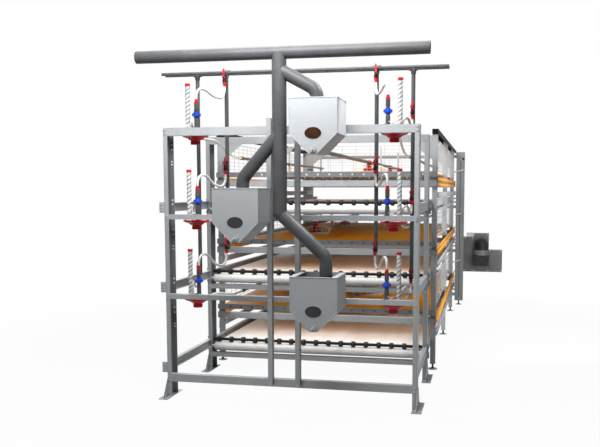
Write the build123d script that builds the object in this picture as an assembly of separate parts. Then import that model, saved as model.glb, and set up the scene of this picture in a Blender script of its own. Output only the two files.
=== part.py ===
from build123d import *
import math
import os

# Three-tier broiler cage, feed end to drive end. X runs across the cage, Y along it, Z up, in millimetres.
# The origin is on the floor, midway between the four anchor holes of the front end frame.

# Tiers
TIERS = 3
TIER_PITCH = 620.0

# End frames: the front frame carries feed and water, the roller frame carries the belt ends
FRAME_WIDTH = 1960.0
FRAME_DEPTH = 125.0
FRAME_FLANGE = 34.0
FRAME_WALL = 3.0
FRONT_RISE = 41.0
ROLLER_FRAME_Y = 925.0
ROLLER_FRAME_DROP = 12.0
FOOT_LENGTH = 304.0
FOOT_REACH = 42.0
FOOT_THICK = 6.0
FOOT_BOLT_SPACING = 220.0
FOOT_BOLT_OUT = 24.0
FOOT_BOLT_RADIUS = 7.0
GUSSET_HEIGHT = 150.0
BEAM_DEPTH = 50.0
TOP_BEAM_HEIGHT = 60.0
TIER_BEAM_HEIGHT = 38.0
SILL_HEIGHT = 60.0
SILL_TOP = 185.0
TIER_BEAM_RISE = 292.0
EAR_WIDTH = 42.0
EAR_HEIGHT = 82.0
EAR_RISE = 12.0

# Feeder posts in front of the beams
POST_CENTRES = (-128.0, 85.0)
POST_WIDTH = 36.0
POST_DEPTH = 49.0
POST_BOTTOM = 150.0
POST_RISE = 56.0

# Manure belts and their rollers
BELT_TOP = 254.0
BELT_EDGE = 15.0
BELT_THICK = 1.7
ROLLER_RADIUS = 37.0
ROLLER_END_GAP = 45.0
JOURNAL_RADIUS = 12.5
JOURNAL_HOLE = 18.0
RING_RADIUS = 25.0
RING_WIDTH = 14.0
RING_PITCH = 112.0
RING_SHAFT_RADIUS = 9.0
BEARING_THICK = 12.0
BEARING_MARGIN = 20.0
SHAFT_TAIL = 6.0
SIDE_RAIL_HEIGHT = 70.0
UNDER_BEAM_HEIGHT = 40.0
UNDER_BEAM_DROP = 8.0
SUPPORT_BAR_RADIUS = 8.0

# Fits
RUNNING_GAP = 0.05
SEAT_GAP = 0.3

# Cage body
CAGE_START = 1314.0
BAY_LENGTH = 1740.0
BAYS = 2
CAGE_TOP_RISE = 372.0
LEG_WIDTH = 47.0
LEG_DEPTH = 40.0
LEG_WALL = 2.5
LEG_LIFT = 50.0
LEG_PLATE = 5.0
CORNER_REACH = 270.0
CORNER_HEIGHT = 216.0
PAD_RADIUS = 42.0
PAD_THICK = 6.0
STEM_RADIUS = 9.0
CHANNEL_RISE = 273.0
CHANNEL_HEIGHT = 46.0
CHANNEL_DEPTH = 40.0
LOWER_RAIL_DROP = 81.0
LOWER_RAIL_HEIGHT = 56.0
FLOOR_THICK = 12.0
FLOOR_EDGE = 5.0
SLOT_BAR = 125.0
SLOT_WIDTH = 30.0
SLOT_PITCH = 100.0
CURB_DROP = 66.0
CURB_HEIGHT = 80.0
CURB_LIP = 12.0
CURB_OVERHANG = 484.0
LONG_RAIL_RISE = 60.0
LONG_RAIL_HEIGHT = 55.0
LONG_RAIL_LIP = 14.0
STRIP_HEIGHT = 45.0
STRIP_WALL = 3.0
STRIP_FRONT = 32.0
STRIP_REAR = 57.0

# Wire doors and panels
WIRE = 4.0
GRID_COLUMNS = 12
GRID_ROWS = 4
PARTITION_COLUMNS = 12
STRAP_MARGIN = 10.0
DOOR_RISE = 282.0
DOOR_INSET = 15.0
DOOR_GAP = 4.0
DOOR_TOP_GAP = 10.0
HINGE_RADIUS = 4.0
KNUCKLE_RADIUS = 9.0
KNUCKLE_LENGTH = 60.0
KNUCKLES = 3
CEILING_GAP = 6.0
TOP_PARTITION_GAP = 40.0

# Drive end
REAR_Y = 5374.0
REAR_LEG_GAP = 8.0
REAR_WIDTH = 115.0
REAR_DEPTH = 80.0
REAR_DROP = 12.0
REAR_LIFT = 60.0
STRIP_GAP = 10.0
REAR_BEAM_HEIGHT = 40.0
SPACER_WIDTH = 20.0
SPROCKET_TEETH = 14
SPROCKET_RADIUS = 32.0
SPROCKET_ROOT = 26.0
SPROCKET_THICK = 8.0
SPROCKET_OUT = 45.0
DRIVE_SETBACK = 26.0
DRIVE_DEPTH = 160.0
DRIVE_FLOOR = 474.0
DRIVE_BOXES = ((140.0, 490.0), (210.0, 540.0), (185.0, 305.0))
MOTOR_OUT = 253.0
MOTOR_LIFT = 101.0
MOTOR_RADIUS = 95.0
GEARBOX_WIDTH = 217.0
GEARBOX_FOOT = 190.0
GEARBOX_HEIGHT = 140.0
MOTOR_BAND = 80.0
MOTOR_COWL = 65.0

# Feed
FEED_SETBACK = 141.5
FEED_PIPE_RISE = 328.0
FEED_PIPE_OVERHANG = 88.0
FEED_PIPE_RADIUS = 45.0
FEED_PIPE_WALL = 4.0
SPIGOT_LENGTH = 90.0
SPIGOT_STEP = 0.5
DROP_X = 8.0
DROP_RADIUS = 52.0
BRANCH_RADIUS = 47.0
BRANCH_BEND = 95.0
BRANCH_DIP = 60.0
# Each branch: sideways shift from its hopper's middle, elbow above the hopper, fall per run
BRANCHES = ((62.0, 130.0, 0.914), (15.0, 65.0, 1.157), (0.0, 62.0, 0.545))
HOPPER_X = 283.0
HOPPER_SIDES = (1, -1, 1)
HOPPER_RISE = 495.0
HOPPER_WIDTH = 338.0
HOPPER_DEPTH = 338.0
HOPPER_WALL_HEIGHT = 245.0
HOPPER_HEIGHT = 385.0
HOPPER_FLAT = 58.0
HOPPER_SHEET = 2.0
HOPPER_LIP = 38.0
WINDOW_WIDTH = 118.0
WINDOW_HEIGHT = 82.0
AUGER_RISE = 28.0
AUGER_SHAFT_RADIUS = 7.0
AUGER_RADIUS = 12.5
AUGER_TURNS = 4
FLIGHT_THICK = 3.0
FLIGHT_SHARE = 0.8
FLIGHT_LEAD = 8.0
AUGER_STUB = 45.0
AUGER_TAIL = 80.0
BOSS_RADIUS = 22.0
BOSS_LENGTH = 12.0
FEED_TUBE_RADIUS = 16.0
FEED_TUBE_WALL = 2.5
LINE_OVERHANG = 145.0
PAN_RADIUS = 165.0
PAN_HEIGHT = 60.0
PAN_WALL = 4.0
PAN_FLARE = 24.0
PAN_DRUM_RADIUS = 62.0
PAN_DRUM_HEIGHT = 58.0
PAN_NECK_RADIUS = 30.0
PAN_NECK_DROP = 8.0
GUARD_HEIGHT = 87.0
GUARD_SHOULDER = 105.0
GUARD_SINK = 5.0
PAN_SLEEVE_REACH = 8.0
PAN_SLEEVE_WALL = 6.0
PAN_SPOKES = 8

# Water
SUPPLY_RISE = 466.0
SUPPLY_OVERHANG = 182.0
SUPPLY_RADIUS = 12.5
WATER_SPIGOT = 40.0
INNER_DROP_OFFSET = (-170.0, 262.0)
OUTER_DROP_OFFSET = (105.0, 342.0)
DROP_PIPE_RADIUS = 16.0
NIPPLE_LEAD = 64.0
NIPPLE_RISE = 130.0
NIPPLE_RADIUS = 12.5
INNER_VALVE_RISE = (366.0, 383.0, 420.0)
OUTER_VALVE_RISE = 145.0
VALVE_FORWARD = 45.0
VALVE_RADIUS = 15.0
VALVE_HEIGHT = 80.0
STUB_RADIUS = 11.0
SPINDLE_RADIUS = 4.0
SPINDLE_LENGTH = 8.0
LEVER_HUB_RADIUS = 12.0
LEVER_THICK = 7.0
LEVER_WIDTH = 13.0
LEVER_LENGTH = 62.0
TAIL_RADIUS = 17.0
TAIL_LENGTH = 30.0
TAIL_NECK = 12.0
TAIL_COLLAR = 12.0
HOSE_RADIUS = 10.0
BEND_SHARE = 0.45
# Hose points past their ends: sideways, along the cage, and up
SUPPLY_SAG = 95.0
SUPPLY_SWING = (50.0, -120.0)
SUPPLY_RISE_POINT = (-35.0, 85.0, 95.0)
SUPPLY_CREST = 70.0
FLUSH_LEAD = 55.0
FLUSH_DIP = (-4.0, -80.0, 4.0)
FLUSH_CREST = (-17.0, -165.0, 78.0)
FLUSH_LANDING = (50.0, 20.0)
FLUSH_TOP = 40.0
# Delivery hose: share of the way to the cage, sideways, and share of the drop
DELIVERY_STEPS = ((0.12, 0.0, 0.0), (0.30, -6.0, -0.06), (0.50, -14.0, 0.42), (0.70, -8.0, 0.92),
                  (0.88, 0.0, 1.0))
REGULATOR_INSET = 200.0
REGULATOR_GAP = 3.5
REGULATOR_DROP = 48.0
DOME_RADIUS = 104.0
DOME_RIM = 9.0
DOME_DEPTH = 40.0
DOME_WAIST = (62.0, 22.0)
DOME_NECK = 40.0
OUTLET_DROP = 18.0
OUTLET_OUT = 12.0
KNOB_RADIUS = 35.0
KNOB_DEPTH = 33.0
COLUMN_OFFSET = (-40.0, -73.0)
COLUMN_RADIUS = 17.0
COLUMN_WAIST = 12.0
COLUMN_RISE = 190.0
UNION_RADIUS = 32.0
UNION_HEIGHT = 44.0
UNION_RISE = 80.0
CLAMP_WIDTH = 30.0
CLAMP_THICK = 6.0
CLAMP_REACH = 34.0
SIGHT_OFFSET = (46.0, -30.0)
SIGHT_RADIUS = 17.0
SIGHT_WALL = 2.5
SIGHT_RISE = 326.0
CAP_RADIUS = 20.0
CAP_HEIGHT = 20.0

SIDES = (1, -1)
SIDE_NAMES = {1: "right", -1: "left"}
TIER_NAMES = ("lower", "middle", "upper")

# Worked-out places
HALF_WIDTH = FRAME_WIDTH / 2
ROLLER_LENGTH = FRAME_WIDTH - 2 * ROLLER_END_GAP
BELT_WIDTH = ROLLER_LENGTH - 2 * BELT_EDGE
RING_COUNT = int(ROLLER_LENGTH / RING_PITCH) + 1
FRAME_FRONT = -FRAME_DEPTH / 2
BEAM_FRONT = FRAME_FRONT + FRAME_WALL
BEAM_BACK = BEAM_FRONT + BEAM_DEPTH
POST_FRONT = BEAM_FRONT - POST_DEPTH
HOPPER_FRONT = POST_FRONT - HOPPER_DEPTH
CHANNEL_MIDDLE = BELT_TOP + CHANNEL_RISE
TIER_BEAM_TOP = CHANNEL_MIDDLE + TIER_BEAM_RISE
FRONT_HEIGHT = TIER_BEAM_TOP + TIER_PITCH * (TIERS - 1) + FRONT_RISE
ROLLER_FRAME_HEIGHT = FRONT_HEIGHT - ROLLER_FRAME_DROP
CAGE_HEIGHT = CHANNEL_MIDDLE + TIER_PITCH * (TIERS - 1) + CHANNEL_HEIGHT / 2 + CAGE_TOP_RISE
HOPPER_TOP = CHANNEL_MIDDLE + HOPPER_RISE
LEG_OUTER = HALF_WIDTH + LEG_WIDTH
LEG_ROWS = [CAGE_START + BAY_LENGTH * row for row in range(BAYS + 1)]
BELT_SPAN = ROLLER_RADIUS + SEAT_GAP + BELT_THICK
LINE_END = LEG_ROWS[-1] + LINE_OVERHANG
CHANNEL_FRONT = CAGE_START - LEG_DEPTH / 2 - CHANNEL_DEPTH
REAR_INNER = LEG_OUTER + REAR_LEG_GAP
REAR_OUTER = REAR_INNER + REAR_WIDTH
REAR_AXIS = REAR_Y + REAR_DEPTH / 2
DOOR_X = LEG_OUTER - DOOR_INSET
DRIVE_FRONT = REAR_Y + DRIVE_SETBACK
MOTOR_X = REAR_OUTER + MOTOR_OUT
MOTOR_BASE = DRIVE_FLOOR + MOTOR_LIFT
FEED_Y = HOPPER_FRONT + FEED_SETBACK
FEED_PIPE_Z = HOPPER_TOP + TIER_PITCH * (TIERS - 1) + FEED_PIPE_RISE
FEED_PIPE_HALF = HALF_WIDTH + FEED_PIPE_OVERHANG
SUPPLY_Z = FRONT_HEIGHT + SUPPLY_RISE
SUPPLY_HALF = HALF_WIDTH + SUPPLY_OVERHANG
REGULATOR_X = HALF_WIDTH - REGULATOR_INSET
REGULATOR_Y = BEAM_BACK + REGULATOR_GAP + DOME_RADIUS
COLUMN_X = REGULATOR_X + COLUMN_OFFSET[0]
COLUMN_Y = REGULATOR_Y + COLUMN_OFFSET[1]
SIGHT_X = REGULATOR_X + SIGHT_OFFSET[0]
SIGHT_Y = REGULATOR_Y + SIGHT_OFFSET[1]
INNER_DROP = (REGULATOR_X + INNER_DROP_OFFSET[0], REGULATOR_Y + INNER_DROP_OFFSET[1])
OUTER_DROP = (REGULATOR_X + OUTER_DROP_OFFSET[0], REGULATOR_Y + OUTER_DROP_OFFSET[1])
NIPPLE_X = REGULATOR_X
NIPPLE_START = CAGE_START - NIPPLE_LEAD
OUTLET_END = REGULATOR_Y + DOME_RADIUS + OUTLET_OUT
STRIP_BOTTOM = CAGE_HEIGHT + STRIP_WALL - STRIP_HEIGHT

X_AXIS = (1, 0, 0)
Y_AXIS = (0, 1, 0)
Z_AXIS = (0, 0, 1)


def belt_top(tier):
    """Height of the carrying face of a tier's belt."""
    return BELT_TOP + TIER_PITCH * tier


def roller_axis(tier):
    """Height of a tier's roller axes."""
    return belt_top(tier) - BELT_SPAN


def ring_axis(tier):
    """Height of the ringed shaft that presses the belt on its roller."""
    return belt_top(tier) + SEAT_GAP + RING_RADIUS


def floor_top(tier):
    """Height of the slatted floor that the birds stand on."""
    return CHANNEL_MIDDLE + TIER_PITCH * tier + CHANNEL_HEIGHT / 2


def hinge_height(tier):
    """Height of a tier's door hinge rod."""
    return floor_top(tier) + DOOR_RISE


def ceiling(tier):
    """Upper limit of a tier's cell: the belt above, or the cage top."""
    if tier == TIERS - 1:
        return CAGE_HEIGHT - TOP_PARTITION_GAP
    return belt_top(tier + 1) - 2 * BELT_SPAN - CEILING_GAP


def beam_top(tier):
    """Top of the front beam that carries a tier's water regulators."""
    return FRONT_HEIGHT if tier == TIERS - 1 else TIER_BEAM_TOP + TIER_PITCH * tier


def hopper_x(tier):
    """Middle of a tier's hopper and feed line across the cage."""
    return HOPPER_SIDES[tier] * HOPPER_X


def hopper_bottom(tier):
    """Lowest face of a tier's hopper."""
    return HOPPER_TOP + TIER_PITCH * tier - HOPPER_HEIGHT


def auger_height(tier):
    """Axis of a tier's feed auger and feed tube."""
    return hopper_bottom(tier) + AUGER_RISE


def slab(x, y, z):
    """Block between two limits on each axis."""
    spans = (x, y, z)
    sizes = [abs(b - a) for a, b in spans]
    middle = [(a + b) / 2 for a, b in spans]
    return Pos(*middle) * Box(*sizes)


def rod(start, axis, length, radius):
    """Round bar from a start point along an axis."""
    return extrude(Plane(origin=start, z_dir=axis) * Circle(radius), amount=length)


def pipe(start, axis, length, radius, bore):
    """Open round pipe from a start point along an axis."""
    return rod(start, axis, length, radius) - rod(start, axis, length, bore)


def channel(start, along, opens, length, web, flange, wall):
    """Rolled C-section: the back of its web starts at a point, and its flanges point one way."""
    half = web / 2
    outline = Polyline(
        (0, -half), (flange, -half), (flange, wall - half), (wall, wall - half),
        (wall, half - wall), (flange, half - wall), (flange, half), (0, half), close=True,
    )
    plane = Plane(origin=start, x_dir=opens, z_dir=along)
    return extrude(plane * make_face(outline), amount=length)


def turned(points, x, y):
    """Solid of revolution about an upright axis, from points of radius and height."""
    outline = make_face(Plane.XZ * Polyline(*points, close=True))
    return Pos(x, y, 0) * revolve(outline, axis=Axis.Z)


def hose(points, radii, radius):
    """Round hose along straight runs that tangent arcs join."""
    path = FilletPolyline(*points, radius=radii)
    start = Plane(origin=path @ 0, z_dir=path % 0)
    return sweep(start * Circle(radius), path=path)


def bend_radii(points):
    """Largest bend at each corner of a route that leaves a straight part of every run."""
    radii = []
    for before, corner, after in zip(points, points[1:], points[2:]):
        arrive, leave = Vector(corner) - Vector(before), Vector(after) - Vector(corner)
        half_turn = math.radians(arrive.get_angle(leave)) / 2
        radii.append(BEND_SHARE * min(arrive.length, leave.length) / math.tan(half_turn))
    return radii


def solids_of(shapes):
    """Every separate solid in a list of shapes."""
    return [solid for shape in shapes for solid in shape.solids()]


def end_upright(side, y, height):
    """C-section upright of an end frame, welded to a gusset and a drilled base plate."""
    outer = side * HALF_WIDTH
    post = channel((outer, y, FOOT_THICK), Z_AXIS, (-side, 0, 0), height - FOOT_THICK,
                   FRAME_DEPTH, FRAME_FLANGE, FRAME_WALL)
    half_foot = FOOT_LENGTH / 2
    gusset_outline = Polyline(
        (y - FRAME_DEPTH / 2, GUSSET_HEIGHT), (y + FRAME_DEPTH / 2, GUSSET_HEIGHT),
        (y + half_foot, FOOT_THICK), (y - half_foot, FOOT_THICK), close=True,
    )
    wall_plane = Plane(origin=(outer, 0, 0), x_dir=Y_AXIS, z_dir=X_AXIS)
    gusset = extrude(wall_plane * make_face(gusset_outline), amount=side * FRAME_WALL)
    plate = slab((outer - side * FRAME_FLANGE, outer + side * FOOT_REACH),
                 (y - half_foot, y + half_foot), (0, FOOT_THICK))
    upright = post + gusset + plate
    for along in SIDES:
        hole_y = y + along * FOOT_BOLT_SPACING / 2
        upright -= rod((outer + side * FOOT_BOLT_OUT, hole_y, 0), Z_AXIS, FOOT_THICK, FOOT_BOLT_RADIUS)
    return upright


def frame_beam(front, top, height):
    """Cross beam that fits between the webs of an end frame, behind its front flanges."""
    length = FRAME_WIDTH - 2 * FRAME_WALL
    return channel((-length / 2, front, top - height / 2), X_AXIS, Y_AXIS, length,
                   height, BEAM_DEPTH, FRAME_WALL)


def front_uprights():
    """Uprights of the front frame, the left one with three ear plates."""
    right = end_upright(1, 0, FRONT_HEIGHT)
    left = end_upright(-1, 0, FRONT_HEIGHT)
    for base in [SILL_TOP + EAR_RISE] + [beam_top(tier) + EAR_RISE for tier in range(TIERS - 1)]:
        left += slab((-HALF_WIDTH - EAR_WIDTH, -HALF_WIDTH), (FRAME_FRONT, BEAM_FRONT),
                     (base, base + EAR_HEIGHT))
    return [right, left]


def front_beams():
    """Sill, two tier beams and top beam of the front frame."""
    beams = [frame_beam(BEAM_FRONT, SILL_TOP, SILL_HEIGHT)]
    beams += [frame_beam(BEAM_FRONT, beam_top(tier), TIER_BEAM_HEIGHT) for tier in range(TIERS - 1)]
    beams.append(frame_beam(BEAM_FRONT, FRONT_HEIGHT, TOP_BEAM_HEIGHT))
    return beams


def feeder_posts():
    """Slim posts that stand against the front beams and carry the hoppers."""
    return [channel((x, POST_FRONT, POST_BOTTOM), Z_AXIS, Y_AXIS, FRONT_HEIGHT + POST_RISE - POST_BOTTOM,
                    POST_WIDTH, POST_DEPTH, FRAME_WALL) for x in POST_CENTRES]


def roller_frame():
    """Frame behind the front one: uprights, beams under each roller, top beam and bearing plates."""
    pieces = []
    front = ROLLER_FRAME_Y - FRAME_DEPTH / 2 + FRAME_WALL
    for side in SIDES:
        upright = end_upright(side, ROLLER_FRAME_Y, ROLLER_FRAME_HEIGHT)
        inner = side * (HALF_WIDTH - FRAME_FLANGE)
        reach = FRAME_FLANGE + BEARING_THICK
        for tier in range(TIERS):
            for height in (roller_axis(tier), ring_axis(tier)):
                upright -= rod((inner, ROLLER_FRAME_Y, height), (side, 0, 0), reach, JOURNAL_HOLE)
            plate = slab((side * HALF_WIDTH, side * (HALF_WIDTH + BEARING_THICK)),
                         (ROLLER_FRAME_Y - JOURNAL_RADIUS - BEARING_MARGIN,
                          ROLLER_FRAME_Y + JOURNAL_RADIUS + BEARING_MARGIN),
                         (roller_axis(tier) - JOURNAL_RADIUS - BEARING_MARGIN,
                          ring_axis(tier) + RING_SHAFT_RADIUS + BEARING_MARGIN))
            for height, radius in ((roller_axis(tier), JOURNAL_RADIUS), (ring_axis(tier), RING_SHAFT_RADIUS)):
                plate -= rod((inner, ROLLER_FRAME_Y, height), (side, 0, 0), reach, radius + RUNNING_GAP)
            pieces.append(plate)
        pieces.append(upright)
    for tier in range(TIERS):
        under_top = belt_top(tier) - 2 * BELT_SPAN - UNDER_BEAM_DROP
        pieces.append(frame_beam(front, under_top, UNDER_BEAM_HEIGHT))
    pieces.append(frame_beam(front, ROLLER_FRAME_HEIGHT, TOP_BEAM_HEIGHT))
    return pieces


def front_roller(tier):
    """Idle roller with its two journals."""
    tip = HALF_WIDTH + BEARING_THICK + SHAFT_TAIL
    height = roller_axis(tier)
    body = rod((-ROLLER_LENGTH / 2, ROLLER_FRAME_Y, height), X_AXIS, ROLLER_LENGTH, ROLLER_RADIUS)
    return body + rod((-tip, ROLLER_FRAME_Y, height), X_AXIS, 2 * tip, JOURNAL_RADIUS)


def ring_shaft(tier):
    """Press shaft with evenly spaced rubber rings."""
    tip = HALF_WIDTH + BEARING_THICK + SHAFT_TAIL
    height = ring_axis(tier)
    shaft = rod((-tip, ROLLER_FRAME_Y, height), X_AXIS, 2 * tip, RING_SHAFT_RADIUS)
    for ring in range(RING_COUNT):
        middle = (ring - (RING_COUNT - 1) / 2) * RING_PITCH
        shaft += rod((middle - RING_WIDTH / 2, ROLLER_FRAME_Y, height), X_AXIS, RING_WIDTH, RING_RADIUS)
    return shaft


def sprocket(x, y, z):
    """Toothed chain wheel, its outline alternating between tip and root circles."""
    step = math.pi / SPROCKET_TEETH
    points = []
    for corner in range(2 * SPROCKET_TEETH):
        radius = SPROCKET_RADIUS if corner % 2 == 0 else SPROCKET_ROOT
        points.append((radius * math.cos(corner * step), radius * math.sin(corner * step)))
    plane = Plane(origin=(x, y, z), x_dir=Y_AXIS, z_dir=X_AXIS)
    return extrude(plane * make_face(Polyline(*points, close=True)), amount=SPROCKET_THICK)


def rear_roller(tier):
    """Drive roller whose right journal carries a chain wheel inside the rear upright."""
    left_tip = HALF_WIDTH + BEARING_THICK + SHAFT_TAIL
    wheel_x = REAR_INNER + SPROCKET_OUT
    right_tip = wheel_x + SPROCKET_THICK + SHAFT_TAIL
    height = roller_axis(tier)
    body = rod((-ROLLER_LENGTH / 2, REAR_AXIS, height), X_AXIS, ROLLER_LENGTH, ROLLER_RADIUS)
    body += rod((-left_tip, REAR_AXIS, height), X_AXIS, left_tip + right_tip, JOURNAL_RADIUS)
    return body + sprocket(wheel_x, REAR_AXIS, height)


def manure_belt(tier):
    """Endless belt round a tier's two rollers."""
    span = REAR_AXIS - ROLLER_FRAME_Y
    middle = (-BELT_WIDTH / 2, (REAR_AXIS + ROLLER_FRAME_Y) / 2, roller_axis(tier))
    plane = Plane(origin=middle, x_dir=Y_AXIS, z_dir=X_AXIS)
    loop = SlotCenterToCenter(span, 2 * BELT_SPAN) - SlotCenterToCenter(span, 2 * (BELT_SPAN - BELT_THICK))
    return extrude(plane * loop, amount=BELT_WIDTH)


def long_rails():
    """Side channels that guide the belts, outer rails below the floors, and the door hinge rods."""
    rails = []
    front_end = FRAME_DEPTH / 2
    roller_front = ROLLER_FRAME_Y - FRAME_DEPTH / 2
    roller_back = ROLLER_FRAME_Y + FRAME_DEPTH / 2
    guide_spans = ((front_end, roller_front), (roller_back, REAR_Y + REAR_DEPTH))
    outer_start = CAGE_START - LEG_DEPTH / 2
    for tier in range(TIERS):
        for side in SIDES:
            for start, end in guide_spans:
                rail = channel((side * HALF_WIDTH, start, belt_top(tier)), Y_AXIS, (-side, 0, 0),
                               end - start, SIDE_RAIL_HEIGHT, FRAME_FLANGE, FRAME_WALL)
                rails.append(rail - rod((side * HALF_WIDTH, REAR_AXIS, roller_axis(tier)), (-side, 0, 0),
                                        FRAME_FLANGE, JOURNAL_HOLE))
            middle = belt_top(tier) + LONG_RAIL_RISE + LONG_RAIL_HEIGHT / 2
            rails.append(channel((side * LEG_OUTER, outer_start, middle), Y_AXIS, (side, 0, 0),
                                 REAR_Y - outer_start, LONG_RAIL_HEIGHT, LONG_RAIL_LIP, LEG_WALL))
        for row in LEG_ROWS[:-1]:
            rails.append(rod((DOOR_X, row + LEG_DEPTH / 2, hinge_height(tier)), Y_AXIS,
                             BAY_LENGTH - LEG_DEPTH, HINGE_RADIUS))
    return rails


def cage_legs():
    """C-section legs of the cage body, each with a foot plate and a corner plate near its top."""
    legs = []
    top = STRIP_BOTTOM - STRIP_GAP
    inner = HALF_WIDTH + LEG_WALL
    corner = Polyline((inner, top), (HALF_WIDTH - CORNER_REACH, top), (HALF_WIDTH, top - CORNER_HEIGHT),
                      (inner, top - CORNER_HEIGHT), close=True)
    for row in LEG_ROWS:
        for side in SIDES:
            outer = side * LEG_OUTER
            leg = channel((outer, row, LEG_LIFT), Z_AXIS, (-side, 0, 0), CAGE_HEIGHT - LEG_LIFT,
                          LEG_DEPTH, LEG_WIDTH, LEG_WALL)
            plate = slab((side * HALF_WIDTH, outer), (row - LEG_DEPTH / 2, row + LEG_DEPTH / 2),
                         (LEG_LIFT, LEG_LIFT + LEG_PLATE))
            face = Plane(origin=(0, row - LEG_DEPTH / 2, 0), x_dir=(side, 0, 0), z_dir=(0, -side, 0))
            legs.append(leg + plate + extrude(face * make_face(corner), amount=-side * LEG_WALL))
    return legs


def levelling_foot(x, y, lift):
    """Round pad with a coned neck and a screw stem."""
    neck = STEM_RADIUS * 2
    points = ((0, 0), (PAD_RADIUS, 0), (PAD_RADIUS, PAD_THICK), (neck, 2 * PAD_THICK),
              (STEM_RADIUS, 3 * PAD_THICK), (STEM_RADIUS, lift), (0, lift))
    return turned(points, x, y)


def levelling_feet():
    """One screw foot under every cage leg and rear upright."""
    leg_x = HALF_WIDTH + LEG_WIDTH / 2
    rear_x = (REAR_INNER + REAR_OUTER) / 2
    feet = [levelling_foot(side * leg_x, row, LEG_LIFT) for row in LEG_ROWS for side in SIDES]
    feet += [levelling_foot(side * rear_x, REAR_AXIS, REAR_LIFT) for side in SIDES]
    return feet


def cross_members():
    """Floor channels and lower rails at each leg row, and the bars under each belt."""
    members = []
    seat_height = CHANNEL_HEIGHT - FLOOR_THICK
    for row in LEG_ROWS:
        front = row - LEG_DEPTH / 2 - CHANNEL_DEPTH
        for tier in range(TIERS):
            seat = floor_top(tier) - FLOOR_THICK
            beam = channel((-LEG_OUTER, front, seat - seat_height / 2), X_AXIS, Y_AXIS, 2 * LEG_OUTER,
                           seat_height, CHANNEL_DEPTH, LEG_WALL)
            if row == CAGE_START:
                beam += slab((-LEG_OUTER, LEG_OUTER), (front, front + LEG_WALL), (seat, floor_top(tier)))
            members.append(beam)
            middle = CHANNEL_MIDDLE - LOWER_RAIL_DROP + TIER_PITCH * tier
            members.append(channel((-LEG_OUTER, front, middle), X_AXIS, Y_AXIS, 2 * LEG_OUTER,
                                   LOWER_RAIL_HEIGHT, CHANNEL_DEPTH, LEG_WALL))
    reach = HALF_WIDTH - FRAME_WALL
    for half_bay in range(2 * BAYS + 1):
        y = CAGE_START + half_bay * BAY_LENGTH / 2
        for tier in range(TIERS):
            z = belt_top(tier) - BELT_THICK - SEAT_GAP - SUPPORT_BAR_RADIUS
            members.append(rod((-reach, y, z), X_AXIS, 2 * reach, SUPPORT_BAR_RADIUS))
    return members


def cage_floor(tier):
    """Slatted plastic floor of one tier, slotted in two rows, behind the lip of the front channel."""
    start = CHANNEL_FRONT + LEG_WALL + SEAT_GAP
    end = LEG_ROWS[-1] + LEG_DEPTH / 2
    half = HALF_WIDTH - FLOOR_EDGE
    count = int((end - start - 2 * SLOT_PITCH) / SLOT_PITCH)
    plane = Plane(origin=(0, (start + end) / 2, floor_top(tier) - FLOOR_THICK))
    sheet = Rectangle(2 * half, end - start)
    sheet -= GridLocations(half, SLOT_PITCH, 2, count) * Rectangle(half - SLOT_BAR, SLOT_WIDTH)
    return extrude(plane * sheet, amount=FLOOR_THICK)


def side_curbs():
    """Lipped plastic strips along both sides of each tier."""
    start = CAGE_START - LEG_DEPTH / 2
    length = LEG_ROWS[-1] + CURB_OVERHANG - start
    lowest = CHANNEL_MIDDLE - CURB_DROP
    return [channel((side * LEG_OUTER, start, lowest + TIER_PITCH * tier), Y_AXIS, (side, 0, 0), length,
                    CURB_HEIGHT, CURB_LIP, LEG_WALL) for tier in range(TIERS) for side in SIDES]


def top_strips():
    """Channel caps that cover the tops of the cage legs, closed at the front."""
    strips = []
    start = CAGE_START - STRIP_FRONT
    length = REAR_Y + STRIP_REAR - start
    web = LEG_WIDTH + 2 * (SEAT_GAP + STRIP_WALL)
    for side in SIDES:
        x = side * (HALF_WIDTH + LEG_WIDTH / 2)
        top = CAGE_HEIGHT + STRIP_WALL
        strip = channel((x, start, top), Y_AXIS, (0, 0, -1), length, web, STRIP_HEIGHT, STRIP_WALL)
        cap = slab((x - web / 2, x + web / 2), (start, start + STRIP_WALL), (STRIP_BOTTOM, top))
        strips.append(strip + cap)
    return strips


def wire_grid(length, height, columns, rows):
    """Flat wire net as a face with a grid of gaps, centred on its own plane."""
    gap_length = (length - WIRE) / columns
    gap_height = (height - WIRE) / rows
    gaps = GridLocations(gap_length, gap_height, columns, rows)
    return Rectangle(length, height) - gaps * Rectangle(gap_length - WIRE, gap_height - WIRE)


def wire_panels():
    """Wire partitions behind the first leg row, with line carriers, and the fixed panels of the left side."""
    panels = []
    for tier in range(TIERS):
        bottom = floor_top(tier)
        width = 2 * (HALF_WIDTH - FLOOR_EDGE)
        height = ceiling(tier) - bottom
        middle = bottom + height / 2
        lines = [(hopper_x(tier), auger_height(tier), FEED_TUBE_RADIUS)]
        lines += [(side * NIPPLE_X, nipple_height(tier), NIPPLE_RADIUS) for side in SIDES]
        for row in LEG_ROWS[1:]:
            plane = Plane(origin=(0, row + WIRE / 2, middle), x_dir=X_AXIS, z_dir=(0, -1, 0))
            net = extrude(plane * wire_grid(width, height, PARTITION_COLUMNS, 1), amount=WIRE)
            for x, z, radius in lines:
                half_strap = radius + STRAP_MARGIN
                net += slab((x - half_strap, x + half_strap), (row - WIRE / 2, row + WIRE / 2),
                            (bottom, ceiling(tier)))
                net -= rod((x, row - WIRE, z), Y_AXIS, 2 * WIRE, radius + SEAT_GAP)
            panels.extend(net.solids())
        side_height = hinge_height(tier) - bottom
        for row in LEG_ROWS[:-1]:
            origin = (-DOOR_X - WIRE / 2, row + BAY_LENGTH / 2, bottom + side_height / 2)
            plane = Plane(origin=origin, x_dir=Y_AXIS, z_dir=X_AXIS)
            grid = wire_grid(BAY_LENGTH - LEG_DEPTH, side_height, GRID_COLUMNS, GRID_ROWS)
            panels.append(extrude(plane * grid, amount=WIRE))
    return panels


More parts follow.
